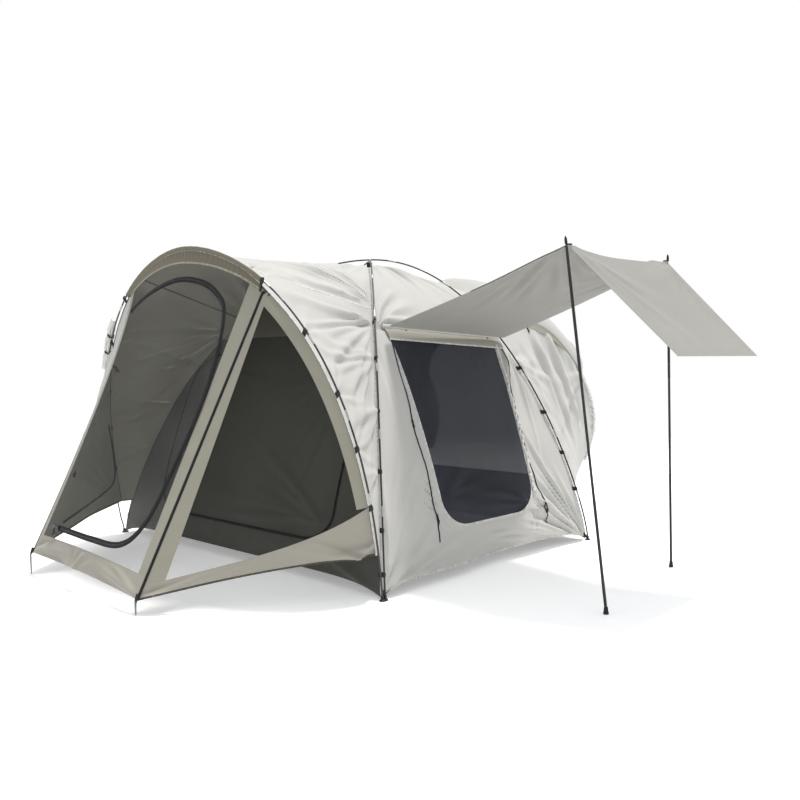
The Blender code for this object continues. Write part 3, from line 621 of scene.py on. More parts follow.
def poleShape(t, curve):
    # Cubic from the crown to the foot: g the share across the plan, h the share of the height.
    c, p, q = curve
    t = np.abs(np.asarray(t, float))
    g = 3 * (1 - t) ** 2 * t * c + 3 * (1 - t) * t ** 2 * p + t ** 3
    h = (1 - t) ** 3 + 3 * (1 - t) ** 2 * t + 3 * (1 - t) * t ** 2 * q
    return g, h


def hoopAt(t):
    g, h = poleShape(t, tent["hoopCurve"])
    return np.stack([np.sign(t) * tent["halfWidth"] * g, tent["hoopLean"] * h, tent["hoopHeight"] * h], -1)


def legAt(side, rear, t):
    g, h = poleShape(t, tent["legCurve"])
    footY = tent["roomLength"] if rear else 0.0
    return np.stack([side * tent["halfWidth"] * g, tent["hubY"] + (footY - tent["hubY"]) * g,
                     tent["hubHeight"] * h], -1)


def clothLeg(side, rear, t):
    # The seam under a leg: a little inside the pole, and lower near the crossing.
    p = legAt(side, rear, t)
    t = np.asarray(t, float)
    inward = side * tent["clothIn"] * np.clip(np.abs(p[..., 0]) / 0.2, 0, 1)
    drop = tent["hubDrop"] * (1 + 6.0 * t ** 2) * np.clip(1 - t / 0.5, 0, 1) ** 1.2
    return p - np.stack([inward, 0 * t, drop], -1)


tableT = np.linspace(0, 1, 600)
seamHeight = clothLeg(1, False, tableT)[:, 2]
seamShare = poleShape(tableT, tent["legCurve"])[0]
hoopLevel = tent["hoopHeight"] * poleShape(tableT, tent["hoopCurve"])[1]


def legShare(z):
    # Share of the plan that the seam under a leg has reached at height z.
    return np.interp(z, seamHeight[::-1], seamShare[::-1])


def legParam(z):
    return float(np.interp(z, seamHeight[::-1], tableT[::-1]))


def hoopParam(z):
    return float(np.interp(z, hoopLevel[::-1], tableT[::-1]))


def crownProfile(share):
    return 1 - (1 - np.sin(math.pi * np.clip(share, 0, 1))) ** 6


def clothHoop(t):
    # The seam under the hoop, further inside the pole at the sides than at the crown.
    start, end = tent["archT"]
    inner = tent["clothIn"] + (tent["archIn"] - tent["clothIn"]) * np.clip((np.abs(t) - start) / (end - start), 0, 1)
    keep = np.stack([1 - inner / tent["halfWidth"], 1 + 0 * inner, 1 - inner / tent["hoopHeight"]], -1)
    return hoopAt(t) * keep + np.array([0.0, 0.006, 0.0])


def smoothLine(points, steps=14):
    # A smooth curve through given points, steps between each two.
    p = np.asarray(points, float)
    p = np.concatenate([2 * p[:1] - p[1:2], p, 2 * p[-1:] - p[-2:-1]])
    a, b, c, d = (p[i:len(p) - 3 + i, None] for i in range(4))
    t = np.linspace(0, 1, steps, endpoint=False)[None, :, None]
    curve = 0.5 * (2 * b + (c - a) * t + (2 * a - 5 * b + 4 * c - d) * t ** 2 + (3 * b - a - 3 * c + d) * t ** 3)
    return np.concatenate([curve.reshape(-1, p.shape[1]), p[-2:-1]])


def ruled(edgeA, edgeB, steps):
    # Straight lines from one edge to the other.
    share = np.linspace(0, 1, steps)[None, :, None]
    return edgeA[:, None] * (1 - share) + edgeB[:, None] * share


# Edges, tapes and zips that other pieces add to as they are made

trims = {"greyTape": [], "innerTape": [], "khakiTape": [], "darkTape": [], "webbing": [], "zip": [], "plastic": []}


def settle(points, grid, outside, lift=0.002):
    # Points moved along the outward direction until they rest on a panel, from the panel's
    # nearest places weighted by closeness.
    points = np.asarray(points, float)
    out = unit(np.asarray(outside, float))
    cells = grid.reshape(-1, 3)
    flat = cells - (cells @ out)[:, None] * out
    want = points - (points @ out)[:, None] * out
    moved = points.copy()
    for i in range(len(points)):
        near = ((flat - want[i]) ** 2).sum(-1)
        best = np.argpartition(near, 5)[:5]
        weight = 1 / (near[best] + 1e-7)
        moved[i] = want[i] + out * ((cells[best] @ out) @ weight / weight.sum() + lift)
    return moved


def evenly(path, step, *others, loop=False):
    # The same line, and what goes with it, at even steps along its length.
    every = [np.asarray(item, float) for item in (path,) + others]
    if loop:
        every = [np.concatenate([item, item[:1]]) for item in every]
    length = np.concatenate([[0.0], np.cumsum(np.linalg.norm(np.diff(every[0], axis=0), axis=-1))])
    at = np.linspace(0, length[-1], max(int(length[-1] / step), 2))
    if loop:
        at = at[:-1]
    out = [np.stack([np.interp(at, length, item[:, i]) for i in range(3)], -1) for item in every]
    return out if others else out[0]


def lay(kind, path, outside, width, thickness=0.0030, lift=0.0, step=0.034, loop=False):
    # A flat tape along a line on the cloth.
    path = np.asarray(path, float)
    upward = np.broadcast_to(unit(np.asarray(outside, float)), path.shape)
    path, upward = evenly(path, step, upward, loop=loop)
    trims[kind].append(sweepPart(path, tapeOutline(width, thickness, lift), upward, loop=loop))
    # Grey tape gets an inner copy in the darker tape, painted shade.
    if kind == "greyTape":
        trims["innerTape"].append(sweepPart(path, tapeOutline(width, thickness, lift - 0.0012), upward, loop=loop))


def layZip(path, outside, width=0.016, coil=0.0028):
    # A zip along a line, with its coil outwards.
    path = np.asarray(path, float)
    upward = np.broadcast_to(unit(np.asarray(outside, float)), path.shape)
    path, upward = evenly(path, 0.020, upward)
    trims["zip"].append(sweepPart(path, zipOutline(width, 0.0024, coil, 0.0015), upward))


def layToggle(at, down, outside, length=0.055, width=0.014):
    # A loop of webbing with a short bar through it.
    at, down, outside = np.asarray(at, float), unit(np.asarray(down, float)), unit(np.asarray(outside, float))
    run = np.array([0.0, 0.25, 0.5, 0.75, 1.0])[:, None]
    bow = np.sin(run * math.pi) * 0.008
    trims["webbing"].append(sweepPart(at + down * run * length + outside * (0.004 + bow),
                                      tapeOutline(width, 0.003), outside))
    bar = at + down * length * 0.62 + outside * 0.010
    side = np.cross(down, outside)
    trims["plastic"].append(sweepPart(bar + (down * 0.7 + side * 0.3) * np.array([[-0.024], [-0.019], [0.019], [0.024]]),
                                      roundOutline(0.0085, 8), outside, [0.5, 1, 1, 0.5]))


def bindEdges(grid, outside, edges, kind="greyTape", width=0.013, loop=False):
    # Tape folded over the chosen edges of a panel.
    normal = gridNormals(grid, loop)
    normal = normal * (1 if float((normal * np.asarray(outside, float)).sum(-1).mean()) > 0 else -1)
    sides = {"first": (0,), "last": (-1,), "left": (slice(None), 0), "right": (slice(None), -1)}
    for edge in edges:
        lay(kind, grid[sides[edge]], normal[sides[edge]], width, 0.0036, loop=loop)


def clothPiece(name, grid, outside, replaces, materials=("cloth", "lining"),
               loop=False, thickness=0.0014, bound=(),
               boundKind="greyTape"):
    piece = addPiece(name, clothPart(grid, outside, thickness, loop), materials, replaces)
    bindEdges(grid, outside, bound, boundKind, loop=loop)
    closed = np.concatenate([grid, grid[:, :1]], 1) if loop else grid
    declareSheet(piece, closed)
    return piece


khakiCloth, khakiPaintedLightCloth, visorPaintedShadeCloth = ("khaki", "khakiLining"), ("khakiPaintedLight", "khakiLining"), ("visor", "khakiLining")
allEdges = ("left", "right", "first", "last")
towardFront, towardNear, towardFar, towardSky = (0.15, -1.0, 0.25), (1.0, 0.0, 0.2), (-1.0, 0.0, 0.2), (0.0, 0.0, 1.0)


# Porch

porch = {
    "half": 0.668, "depth": 1.035, "lift": (0.132, 0.079), "topT": (0.38, 0.43), "hemRise": 0.022,
    "bow": 0.105, "sillW": 0.934, "strip": (0.038, 0.938), "visor": (0.012, 0.040),
    "zipLine": ((0.07, 0.118), (0.30, 0.112), (0.62, 0.094), (0.80, 0.106), (0.885, 0.17), (0.93, 0.40),
                (0.905, 0.67), (0.86, 0.81), (0.74, 0.885), (0.49, 0.900), (0.155, 0.900)),
    "farZip": ((0.26, 0.957), (0.51, 0.955), (0.80, 0.945), (0.94, 0.925), (0.975, 0.87), (0.97, 0.80),
               (0.93, 0.72)),
}


def porchCorner(side):
    return np.array([side * porch["half"], -porch["depth"], porch["lift"][0 if side < 0 else 1]])


def porchBow(w):
    return porch["bow"] * np.sin(math.pi * np.clip(w, 0, 1) ** 0.7)


def frontFace(s, w):
    # Ruled from the hoop's crown, s from far to near, down to the line between the two corners.
    s, w = np.broadcast_arrays(np.asarray(s, float), np.asarray(w, float))
    far, near = porch["topT"]
    top = clothHoop(-far + (far + near) * s)
    low = porchCorner(-1) + (porchCorner(1) - porchCorner(-1)) * s[..., None]
    bow = porchBow(w) * (1 - s) ** 1.5
    return top + (low - top) * w[..., None] + bow[..., None] * np.array([1.0, 0.0, 0.0])


def sideFace(side, s, w):
    # Ruled from the corner seam, s = 0, to the lower part of the hoop, s = 1.
    s, w = np.broadcast_arrays(np.asarray(s, float), np.asarray(w, float))
    topT = porch["topT"][0 if side < 0 else 1]
    top = clothHoop(np.array(side * topT))
    seam = top + (porchCorner(side) - top) * w[..., None]
    if side < 0:
        seam = seam + porchBow(w)[..., None] * np.array([1.0, 0.0, 0.0])
    arc = clothHoop(side * (topT + (hoopParam(tent["gussetZ"]) - topT) * w))
    lift = porch["hemRise"] * np.sin(math.pi * s) * w ** 8
    return seam + (arc - seam) * s[..., None] + lift[..., None] * np.array([0.0, 0.0, 1.0])


def band(surface, s, w0, w1, rows):
    # Part of a face between two lines, w0 and w1 for each s.
    w = w0 + (w1 - w0) * np.linspace(0, 1, rows)[:, None]
    return surface(np.broadcast_to(s, w.shape), w)


def patch(surface, w, s0, s1, cols):
    # Part of a face between two lines, s0 and s1 for each w.
    s = s0[:, None] + (s1 - s0)[:, None] * np.linspace(0, 1, cols)[None, :]
    return surface(s, np.broadcast_to(w[:, None], s.shape))


def visorEdge(s):
    low, high = porch["visor"]
    return low + (high - low) * np.sin(math.pi * s) ** 0.7


def nearSillTop(s):
    return 0.958 - 0.078 * s ** 3


def makePorchFront():
    far, near = porch["strip"]
    s = np.linspace(0, 1, 200)
    visor = band(frontFace, s, 0 * s, visorEdge(s), 12)
    gather = 0.0022 * np.sin(s * 230 + 2 * np.sin(s * 31))[None, :] * edgeHold(visor, ("last",), 0.05)
    visor = pushed(visor, 0.004 + gather, towardFront)
    # The visor takes khaki darkened to brown, painted shade.
    clothPiece("visor_cloth", visor, towardFront, ["front_visor"], visorPaintedShadeCloth,
               bound=("last",), boundKind="khakiTape")
    # The far strip takes khaki lightened as painted light, the near strip plain khaki.
    for name, s0, s1, materials in (("front_strip_far", 0.0, far, khakiPaintedLightCloth), ("front_strip_near", near, 1.0, khakiCloth)):
        s = np.linspace(s0, s1, 13)
        grid = band(frontFace, s, visorEdge(s), np.full(13, porch["sillW"]), 160)
        grid = pushed(grid, billow(grid, [0, 2], 0.16, 0.004, 7) * edgeHold(grid, ("left", "right"), 0.03), towardFront)
        clothPiece(name + "_cloth", grid, towardFront, [name], materials)
    s = np.linspace(0, 1, 170)
    sill = band(frontFace, s, np.full(170, porch["sillW"]), np.ones(170), 26)
    wrinkle = creases(sill, [0, 2], (-0.66, 0.14), (-6, 22), 5, 0.9, 0.010, 11)
    wrinkle += creases(sill, [0, 2], (0.66, 0.09), (158, 182), 5, 0.9, 0.010, 12)
    wrinkle += creases(sill, [0, 2], (-0.1, 0.06), (20, 160), 8, 0.35, 0.009, 13)
    sill = pushed(sill, wrinkle * edgeHold(sill, ("first",), 0.03), towardFront)
    sill[..., 2] += 0.014 * np.sin(math.pi * s)[None, :] * np.linspace(0, 1, 26)[:, None]
    # The front sill takes khaki lightened as painted light.
    clothPiece("front_sill_cloth", sill, towardFront, ["front_sill"], khakiPaintedLightCloth)
    s = np.linspace(far, near, 70)
    door = band(frontFace, s, visorEdge(s), np.full(70, porch["sillW"]), 76)
    door = pushed(door, billow(door, [0, 2], 0.5, 0.010, 14) * edgeHold(door, allEdges), towardFront)
    clothPiece("front_mesh_cloth", door, towardFront, ["front_mesh_door"], ("clearMesh", "clearMesh"),
               thickness=0.0008)
    corner = frontFace(np.ones(90), np.linspace(0.012, 1.0, 90))
    layZip(corner, (0.5, -0.8, 0.2), 0.017)
    layToggle(frontFace(0.10, 0.705), (0, -0.2, -1), towardFront, 0.05)
    layToggle(sideFace(-1, 0.06, 0.30), (0.3, 0.6, -0.7), (1, 0, 0), 0.07)


def makeHoopSleeve():
    # The porch cloth runs round the hoop over its crown, as a sleeve with a seam under it.
    look = {"radius": 0.0095, "tail": 0.024, "t": (-0.40, 0.415)}
    angle = np.radians(np.linspace(-60, 240, 17))
    ring = look["radius"] * np.stack([np.cos(angle), np.sin(angle)], -1)
    tail = np.array([[-0.0022, -0.013], [-0.0016, -look["tail"]], [0.0016, -look["tail"]], [0.0022, -0.013]])
    outline = np.concatenate([ring, tail, ])
    outline = outline if len(outline) % 2 == 0 else outline[1:]
    t = np.linspace(*look["t"], 260)
    path = hoopAt(t)
    ahead = np.gradient(path, axis=0)
    plane = np.cross(unit(hoopAt(np.array(1.0)) - hoopAt(np.array(0.0))), np.array([1.0, 0.0, 0.0]))
    upward = np.cross(ahead, np.broadcast_to(unit(plane), ahead.shape))
    upward = upward * np.sign(upward[:, 2:])
    ripple = 1 + 0.035 * np.sin(t * 150 + 3 * np.sin(t * 17)) + 0.02 * np.sin(t * 71)
    # The sleeve takes the visor's finish, khaki darkened as painted shade.
    piece = addPiece("hoop_sleeve", sweepPart(path, outline, upward, ripple), ("visor",))
    return piece


def makeFrontZip():
    line = smoothLine(porch["zipLine"])
    points = frontFace(line[:, 0], line[:, 1])
    normal = np.broadcast_to(unit(np.array([0.05, -1.0, 0.35])), points.shape)
    points, normal = evenly(points, 0.010, normal)
    tape = sweepPart(points, zipOutline(0.036, 0.003, 0.0045, 0.004), normal)
    end = points[-1]
    box = sweepPart(end + np.array([[0.03, -0.010, 0], [0.0, -0.012, 0], [-0.035, -0.010, 0.004], [-0.06, -0.006, 0.012]]),
                    tapeOutline(0.040, 0.012), (0, -1, 0), [0.8, 1, 1, 0.6], 1)
    pull = sweepPart(end + np.array([[-0.02, -0.018, 0.0], [-0.03, -0.02, -0.03], [-0.05, -0.02, -0.045]]),
                     roundOutline(0.0045, 8), (0, -1, 0), [1.0, 1.2, 0.8], 1)
    addPiece("front_zip", joined([tape, box, pull]), ("zip", "plastic"), ["front_door_zip"])


def makePorchSides():
    def nearFace(s, w):
        return sideFace(1, s, w)

    def farFace(s, w):
        return sideFace(-1, s, w)

    share = np.linspace(0, 1, 170)
    run = float(nearSillTop(np.array(0.0))) * (0.03 + 0.97 * share)
    grid = patch(nearFace, run, 0 * run, np.minimum(0.062 + 0.030 / run, 0.96), 15)
    grid = pushed(grid, billow(grid, [1, 2], 0.2, 0.004, 20) * edgeHold(grid, ("left", "right"), 0.03), towardNear)
    clothPiece("near_corner_cloth", grid, towardNear, ["near_corner_strip"], khakiCloth)
    run = float(nearSillTop(np.array(1.0))) * (0.055 + 0.945 * share)
    grid = patch(nearFace, run, 0.996 - 0.046 / np.maximum(run, 0.055), np.ones(170), 15)
    grid = pushed(grid, billow(grid, [1, 2], 0.14, 0.004, 19) * edgeHold(grid, ("left", "right"), 0.04), towardNear)
    clothPiece("near_arch_cloth", grid, towardNear, ["near_arch_strip"], khakiCloth)
    s = np.linspace(0, 1, 170)
    sill = band(nearFace, s, nearSillTop(s), np.ones(170), 32)
    wrinkle = creases(sill, [1, 2], (-0.06, 0.24), (155, 215), 8, 0.5, 0.014, 21)
    wrinkle += creases(sill, [1, 2], porchCorner(1)[[1, 2]], (2, 22), 5, 0.9, 0.009, 22)
    wrinkle += creases(sill, [1, 2], (-0.03, 0.32), (190, 225), 4, 0.4, 0.012, 23)
    sill = pushed(sill, wrinkle * edgeHold(sill, ("first",), 0.03), towardNear)
    # The near sill takes khaki lightened as painted light.
    clothPiece("near_sill_cloth", sill, towardNear, ["near_sill"], khakiPaintedLightCloth)
    bindEdges(sill, towardNear, ("last",), "darkTape", 0.011)
    run = 0.02 + 0.98 * share
    grid = patch(farFace, run, 0 * run, np.ones(170), 60)
    wrinkle = billow(grid, [1, 2], 0.45, 0.010, 24)
    wrinkle += creases(grid, [1, 2], (-0.26, 1.45), (235, 275), 7, 1.1, 0.013, 25)
    wrinkle += creases(grid, [1, 2], (-0.03, 0.27), (110, 185), 8, 0.8, 0.012, 26)
    grid = pushed(grid, wrinkle * edgeHold(grid, ("left", "right", "first")), towardFar)
    clothPiece("porch_far_cloth", grid, towardFar, ["porch_far_wall"], bound=("last", "left"))
    line = smoothLine(porch["farZip"])
    layZip(farFace(line[:, 0], line[:, 1]) + np.array([0.012, 0, 0]), (1, 0, 0.2), 0.014)


def makeTiedFlap():
    # A flap gathered against the hoop: a crumpled roll that swells between its two ties.
    look = {"t": (0.515, 0.665), "radius": 0.027, "gap": 0.036, "ties": (0.34, 0.68)}
    rows, cols = 110, 56
    u, phi = np.linspace(0, 1, rows)[:, None], np.linspace(0, 2 * math.pi, cols, endpoint=False)[None, :]
    path = hoopAt(-(look["t"][0] + (look["t"][1] - look["t"][0]) * u[:, 0]))
    along = np.gradient(path, axis=0)
    outward = unit(np.cross(along, np.array([0.0, 1.0, 0.0])))
    outward = outward * np.sign(-outward[:, :1])
    waist = 1 - 0.34 * np.exp(-((u - look["ties"][0]) / 0.05) ** 2) - 0.34 * np.exp(-((u - look["ties"][1]) / 0.05) ** 2)
    flare = 0.72 + 0.30 * np.sin(math.pi * u) + 0.12 * np.exp(-((u - 0.98) / 0.10) ** 2)
    folds = 1 + 0.13 * np.sin(5 * phi + 7 * u) + 0.10 * np.sin(9 * phi - 11 * u + 1) + 0.05 * np.sin(17 * phi + 31 * u)
    radius = look["radius"] * waist * flare * folds
    outline = np.stack([radius * np.cos(phi), radius * np.sin(phi)], -1)
    roll = sweepPart(path + outward * look["gap"], outline, outward)
    parts = [roll]
    for tie in look["ties"]:
        i = int(tie * (rows - 1))
        middle, ahead = path[i] + outward[i] * look["gap"], unit(along[i])
        angle = np.linspace(0, 2 * math.pi, 28, endpoint=False)[:, None]
        side = np.cross(ahead, outward[i])
        ring = middle - outward[i] * 0.008 + (outward[i] * np.cos(angle) + side * np.sin(angle) * 0.75) * 0.030
        parts.append(sweepPart(ring, tapeOutline(0.016, 0.003), unit(ring - middle), slot=1, loop=True))
    # The roll takes the cloth lightened as painted light.
    addPiece("tied_flap_roll", joined(parts), ("gather", "webbing"), ["tied_flap_far"])


# Room

def room(side, y, z):
    # A side wall follows the seams under the legs; its upper part is pulled out between them,
    # and its lowest part falls in a little between the feet.
    share = legShare(z)
    along = (y - tent["hubY"] * (1 - share)) / (tent["roomLength"] * share)
    bulge = tent["eaveBulge"] * np.clip(z / tent["eaveZ"], 0, 1) ** 6 * crownProfile(along)
    fold = 0.185 - 0.075 * np.clip((along - 0.45) / 0.5, 0, 1)
    tuck = 0.055 * smooth((fold - z) / 0.075) * smooth((along - 0.30) / 0.25) * smooth((0.98 - along) / 0.2)
    return np.stack([side * (tent["halfWidth"] * share - tent["clothIn"] + bulge - tuck), y + 0 * z, z + 0 * y], -1)


def endWall(front, x, z):
    depth = (tent["hubY"] if front else tent["roomLength"] - tent["hubY"]) * legShare(z)
    y = tent["hubY"] - depth if front else tent["hubY"] + depth
    return np.stack([x + 0 * z, y + 0 * x, z + 0 * x], -1)


def hemZ(share):
    return tent["hemLow"] + tent["hemRise"] * crownProfile(share)


def sideLimits(z):
    share = legShare(z)
    return tent["hubY"] * (1 - share), tent["hubY"] + (tent["roomLength"] - tent["hubY"]) * share


def endLimits(z):
    half = tent["halfWidth"] * legShare(z) - tent["clothIn"]
    return -half, half


doors = {
    "corner": 0.30,
    "side": {"limits": (0.612, 1.540, 0.290, 1.462), "turn": 1.5, "flare": 0.120, "drop": 0.050},
    "porch": {"limits": (-0.960, 0.960, 0.245, 1.380), "turn": 0.9, "flare": 0.0, "drop": 0.0},
}


def doorWidth(b, door):
    # Half width of a door at level b, -1 at its bottom and 1 at its top, rounded at its corners.
    r = doors["corner"]
    over = np.clip((np.abs(b) - (1 - r)) / r, 0, 1)
    if door["flare"]:
        over = np.where(b > 0, 0, over)
    return 1 - r * door["turn"] * (1 - np.sqrt(1 - over ** 2))


def doorPoint(door, a, b, grow=0.0):
    # From a square of -1 to 1 to the door: rounded, wider at the top and lower towards the rear.
    u0, u1, z0, z1 = door["limits"]
    u = (u0 + u1) / 2 + ((u1 - u0) / 2 + grow) * a * doorWidth(b, door)
    z = (z0 + z1) / 2 + ((z1 - z0) / 2 + grow) * b + 0 * u
    across, level = np.clip((u - u0) / (u1 - u0), 0, 1), np.clip((z - z0) / (z1 - z0), 0, 1)
    return u + door["flare"] * across * level ** 1.6, z - door["drop"] * across * level ** 3


def squareLoop(steps):
    run = np.sin(np.linspace(-math.pi / 2, math.pi / 2, steps + 1))[:-1]
    one = np.ones(steps)
    return np.concatenate([run, one, -run, -one]), np.concatenate([-one, run, one, -run])


def wallGrid(lift, limits, door, rings, steps):
    # Rings from the doorway out to the wall's edge.
    a, b = squareLoop(steps)
    innerU, innerZ = doorPoint(door, a, b)
    level = (b + 1) / 2
    outerZ = hemZ((a + 1) / 2) * (1 - level) + tent["eaveZ"] * level
    low, high = limits(outerZ)
    outerU = low + (high - low) * (a + 1) / 2
    r = np.linspace(0, 1, rings)[:, None]
    return lift(innerU * (1 - r) + outerU * r, innerZ * (1 - r) + outerZ * r)


def doorGrid(lift, door, rows=84, cols=68):
    level = np.sin(np.linspace(-math.pi / 2, math.pi / 2, rows))[:, None]
    return lift(*doorPoint(door, np.linspace(-1, 1, cols)[None, :], level))


def nearSide(y, z):
    return room(1, y, z)


def farSide(y, z):
    return room(-1, y, z)


def frontEnd(x, z):
    return endWall(True, x, z)


def ringHold(rings, inner=0.14, outer=0.10):
    r = np.linspace(0, 1, rings)[:, None]
    return smooth(r / inner) * smooth((1 - r) / outer)


def makeSideWall(name, node, lift, outside, seed, rings, steps):
    side = doors["side"]
    grid = wallGrid(lift, sideLimits, side, rings, steps)
    wrinkle = creases(grid, [1, 2], (2.05, 0.02), (108, 160), 10, 1.25, 0.026, seed, 0.013)
    wrinkle += creases(grid, [1, 2], (2.03, 0.03), (160, 178), 5, 1.3, 0.024, seed + 1, 0.014)
    wrinkle += creases(grid, [1, 2], (0.05, 0.04), (8, 44), 6, 1.1, 0.018, seed + 2, 0.020)
    wrinkle += creases(grid, [1, 2], (0.05, 0.06), (48, 84), 5, 1.2, 0.012, seed + 3, 0.016)
    wrinkle += creases(grid, [1, 2], (1.80, 1.44), (236, 274), 6, 1.2, 0.018, seed + 4, 0.014)
    wrinkle += creases(grid, [1, 2], (1.50, 0.36), (250, 350), 7, 0.45, 0.014, seed + 5, 0.012)
    wrinkle += creases(grid, [1, 2], (0.46, 1.48), (226, 268), 5, 1.2, 0.010, seed + 9, 0.014)
    wrinkle += pleats(grid, [1, 2], (0.46, 0.62), (0.80, 0.34), 0.16, 0.040, 0.0032, seed + 6)
    wrinkle += pleats(grid, [1, 2], (0.95, 0.16), (1.60, 0.10), 0.06, 0.085, 0.012, seed + 7)
    wrinkle += billow(grid, [1, 2], 0.45, 0.012, seed + 8)
    grid = pushed(grid, wrinkle * ringHold(rings), outside, True)
    clothPiece(name, grid, outside, [node], loop=True, bound=("last", "first"))
    return grid


def makeWalls():
    side, porchDoor = doors["side"], doors["porch"]
    near = makeSideWall("near_wall_cloth", "near_wall", nearSide, towardNear, 31, 60, 80)
    far = makeSideWall("far_wall_cloth", "far_wall", farSide, towardFar, 131, 32, 48)
    grid = doorGrid(nearSide, side)
    wrinkle = billow(grid, [1, 2], 0.5, 0.010, 51)
    wrinkle += creases(grid, [1, 2], (1.50, 0.34), (148, 186), 7, 1.0, 0.018, 52)
    wrinkle += creases(grid, [1, 2], (0.62, 0.46), (-30, 40), 6, 0.6, 0.014, 53)
    grid = pushed(grid, wrinkle * edgeHold(grid, allEdges), towardNear)
    clothPiece("near_mesh_cloth", grid, towardNear, ["near_door_mesh"], ("darkMesh", "darkMesh"),
               thickness=0.0008)
    grid = doorGrid(farSide, side)
    wrinkle = billow(grid, [1, 2], 0.4, 0.008, 54) + creases(grid, [1, 2], (1.6, 1.40), (190, 260), 7, 1.1, 0.012, 55)
    grid = pushed(grid, wrinkle * edgeHold(grid, allEdges), towardFar)
    clothPiece("far_door_cloth", grid, towardFar, ["far_door"])
    grid = wallGrid(frontEnd, endLimits, porchDoor, 30, 56)
    wrinkle = creases(grid, [0, 2], (1.40, 0.05), (160, 182), 7, 1.8, 0.014, 61, 0.022)
    wrinkle += creases(grid, [0, 2], (-1.40, 0.05), (-2, 22), 7, 1.8, 0.014, 62, 0.022)
    grid = pushed(grid, wrinkle * ringHold(30), towardFront, True)
    # The partition takes the cloth darkened near black, painted deep shade.
    clothPiece("front_wall_cloth", grid, towardFront, ["front_wall"], ("inner", "inner"), loop=True)
    grid = doorGrid(frontEnd, porchDoor)
    wrinkle = billow(grid, [0, 2], 0.6, 0.012, 64)
    wrinkle += creases(grid, [0, 2], (0.92, 0.34), (150, 185), 7, 1.5, 0.012, 65, 0.02)
    wrinkle += creases(grid, [0, 2], (0.85, 1.34), (190, 255), 6, 1.3, 0.010, 66)
    wrinkle += creases(grid, [0, 2], (-0.85, 1.34), (285, 350), 6, 1.3, 0.010, 67)
    grid = pushed(grid, wrinkle * edgeHold(grid, allEdges), towardFront)
    # The porch door takes the cloth darkened near black, painted deep shade.
    clothPiece("porch_door_cloth", grid, towardFront, ["porch_door"], ("inner", "inner"))
    t = np.linspace(0.02, legParam(tent["eaveZ"]), 44)
    edge = clothLeg(1, False, t)
    grid = ruled(edge * np.array([-1, 1, 1]), edge, 50)
    leaning = (0.0, -0.6, -0.8)
    grid = pushed(grid, billow(grid, [0, 1], 0.5, 0.006, 68) * edgeHold(grid, allEdges), leaning)
    # Its porch side takes the khaki inner face, darkened as painted shade.
    clothPiece("front_wall_top_cloth", grid, leaning, ["front_wall_top"], ("khakiLining", "lining"))
    level = np.linspace(0, 1, 30)[:, None]
    a = np.linspace(0, 1, 120)[None, :]
    z = hemZ(a) * (1 - level) + 0.44 * level
    low, high = endLimits(z)
    grid = endWall(False, low + (high - low) * a, z)
    wrinkle = creases(grid, [0, 2], (1.38, 0.06), (150, 182), 6, 1.6, 0.014, 71, 0.022)
    wrinkle += creases(grid, [0, 2], (-1.38, 0.06), (-2, 30), 6, 1.6, 0.014, 72, 0.022)
    grid = pushed(grid, wrinkle * edgeHold(grid, ("left", "right")), (0, 1, 0))
    clothPiece("rear_sill_cloth", grid, (0, 1, 0), ["rear_sill"], bound=("first", "last"))
    return near, far


def makeWallTrims(near, far):
    # Zips beside the side doors, their toggles, and the piping down the near door's rear edge.
    frontZip = ((0.629, 1.50), (0.591, 1.298), (0.561, 1.05), (0.543, 0.90), (0.543, 0.667), (0.54, 0.473), (0.529, 0.227))
    rearZip = ((1.770, 1.463), (1.690, 1.218), (1.644, 1.054), (1.590, 0.793), (1.600, 0.512), (1.63, 0.285), (1.633, 0.183))
    for side, outside, grid in ((1, towardNear, near), (-1, towardFar, far)):
        across = (side, 0.0, 0.0)
        for line in (frontZip, rearZip):
            line = smoothLine(line)
            layZip(settle(room(side, line[:, 0], line[:, 1]), grid, across, 0.0015), outside, 0.010, 0.0018)
        for y, z in ((0.543, 0.95), (0.537, 0.39), (1.590, 0.83), (1.628, 0.32)):
            spot = settle(room(side, np.array([y]), np.array([z])), grid, across, 0.004)[0]
            layToggle(spot, (0, 0.05, -1), outside, 0.085)
    b = np.linspace(1.0, -0.78, 130)
    u, z = doorPoint(doors["side"], 1.0, b, 0.010)
    line = settle(room(1, u + 0.009 * np.sin(b * 46 + 3 * np.sin(b * 9)) * (b < 0.5), z), near, (1, 0, 0), 0.006)
    normal = np.broadcast_to(unit(np.array([1.0, 0.0, 0.2])), line.shape)
    path, normal = evenly(line, 0.008, normal)
    step = np.arange(len(path))
    ripple = 1 + 0.25 * np.sin(step * 1.1 + 2 * np.sin(step * 0.13)) + 0.15 * np.sin(step * 0.47)
    # The piping takes the cloth lightened as painted light.
    addPiece("near_door_piping", sweepPart(path, roundOutline(0.010, 10), normal, ripple), ("gather",))
    a, b = squareLoop(50)
    u, z = doorPoint(doors["porch"], a, b, 0.004)
    keep = np.roll(np.arange(200), -138)[:165]
    layZip(frontEnd(u[keep], z[keep]) + np.array([0, -0.004, 0]), towardFront, 0.016)


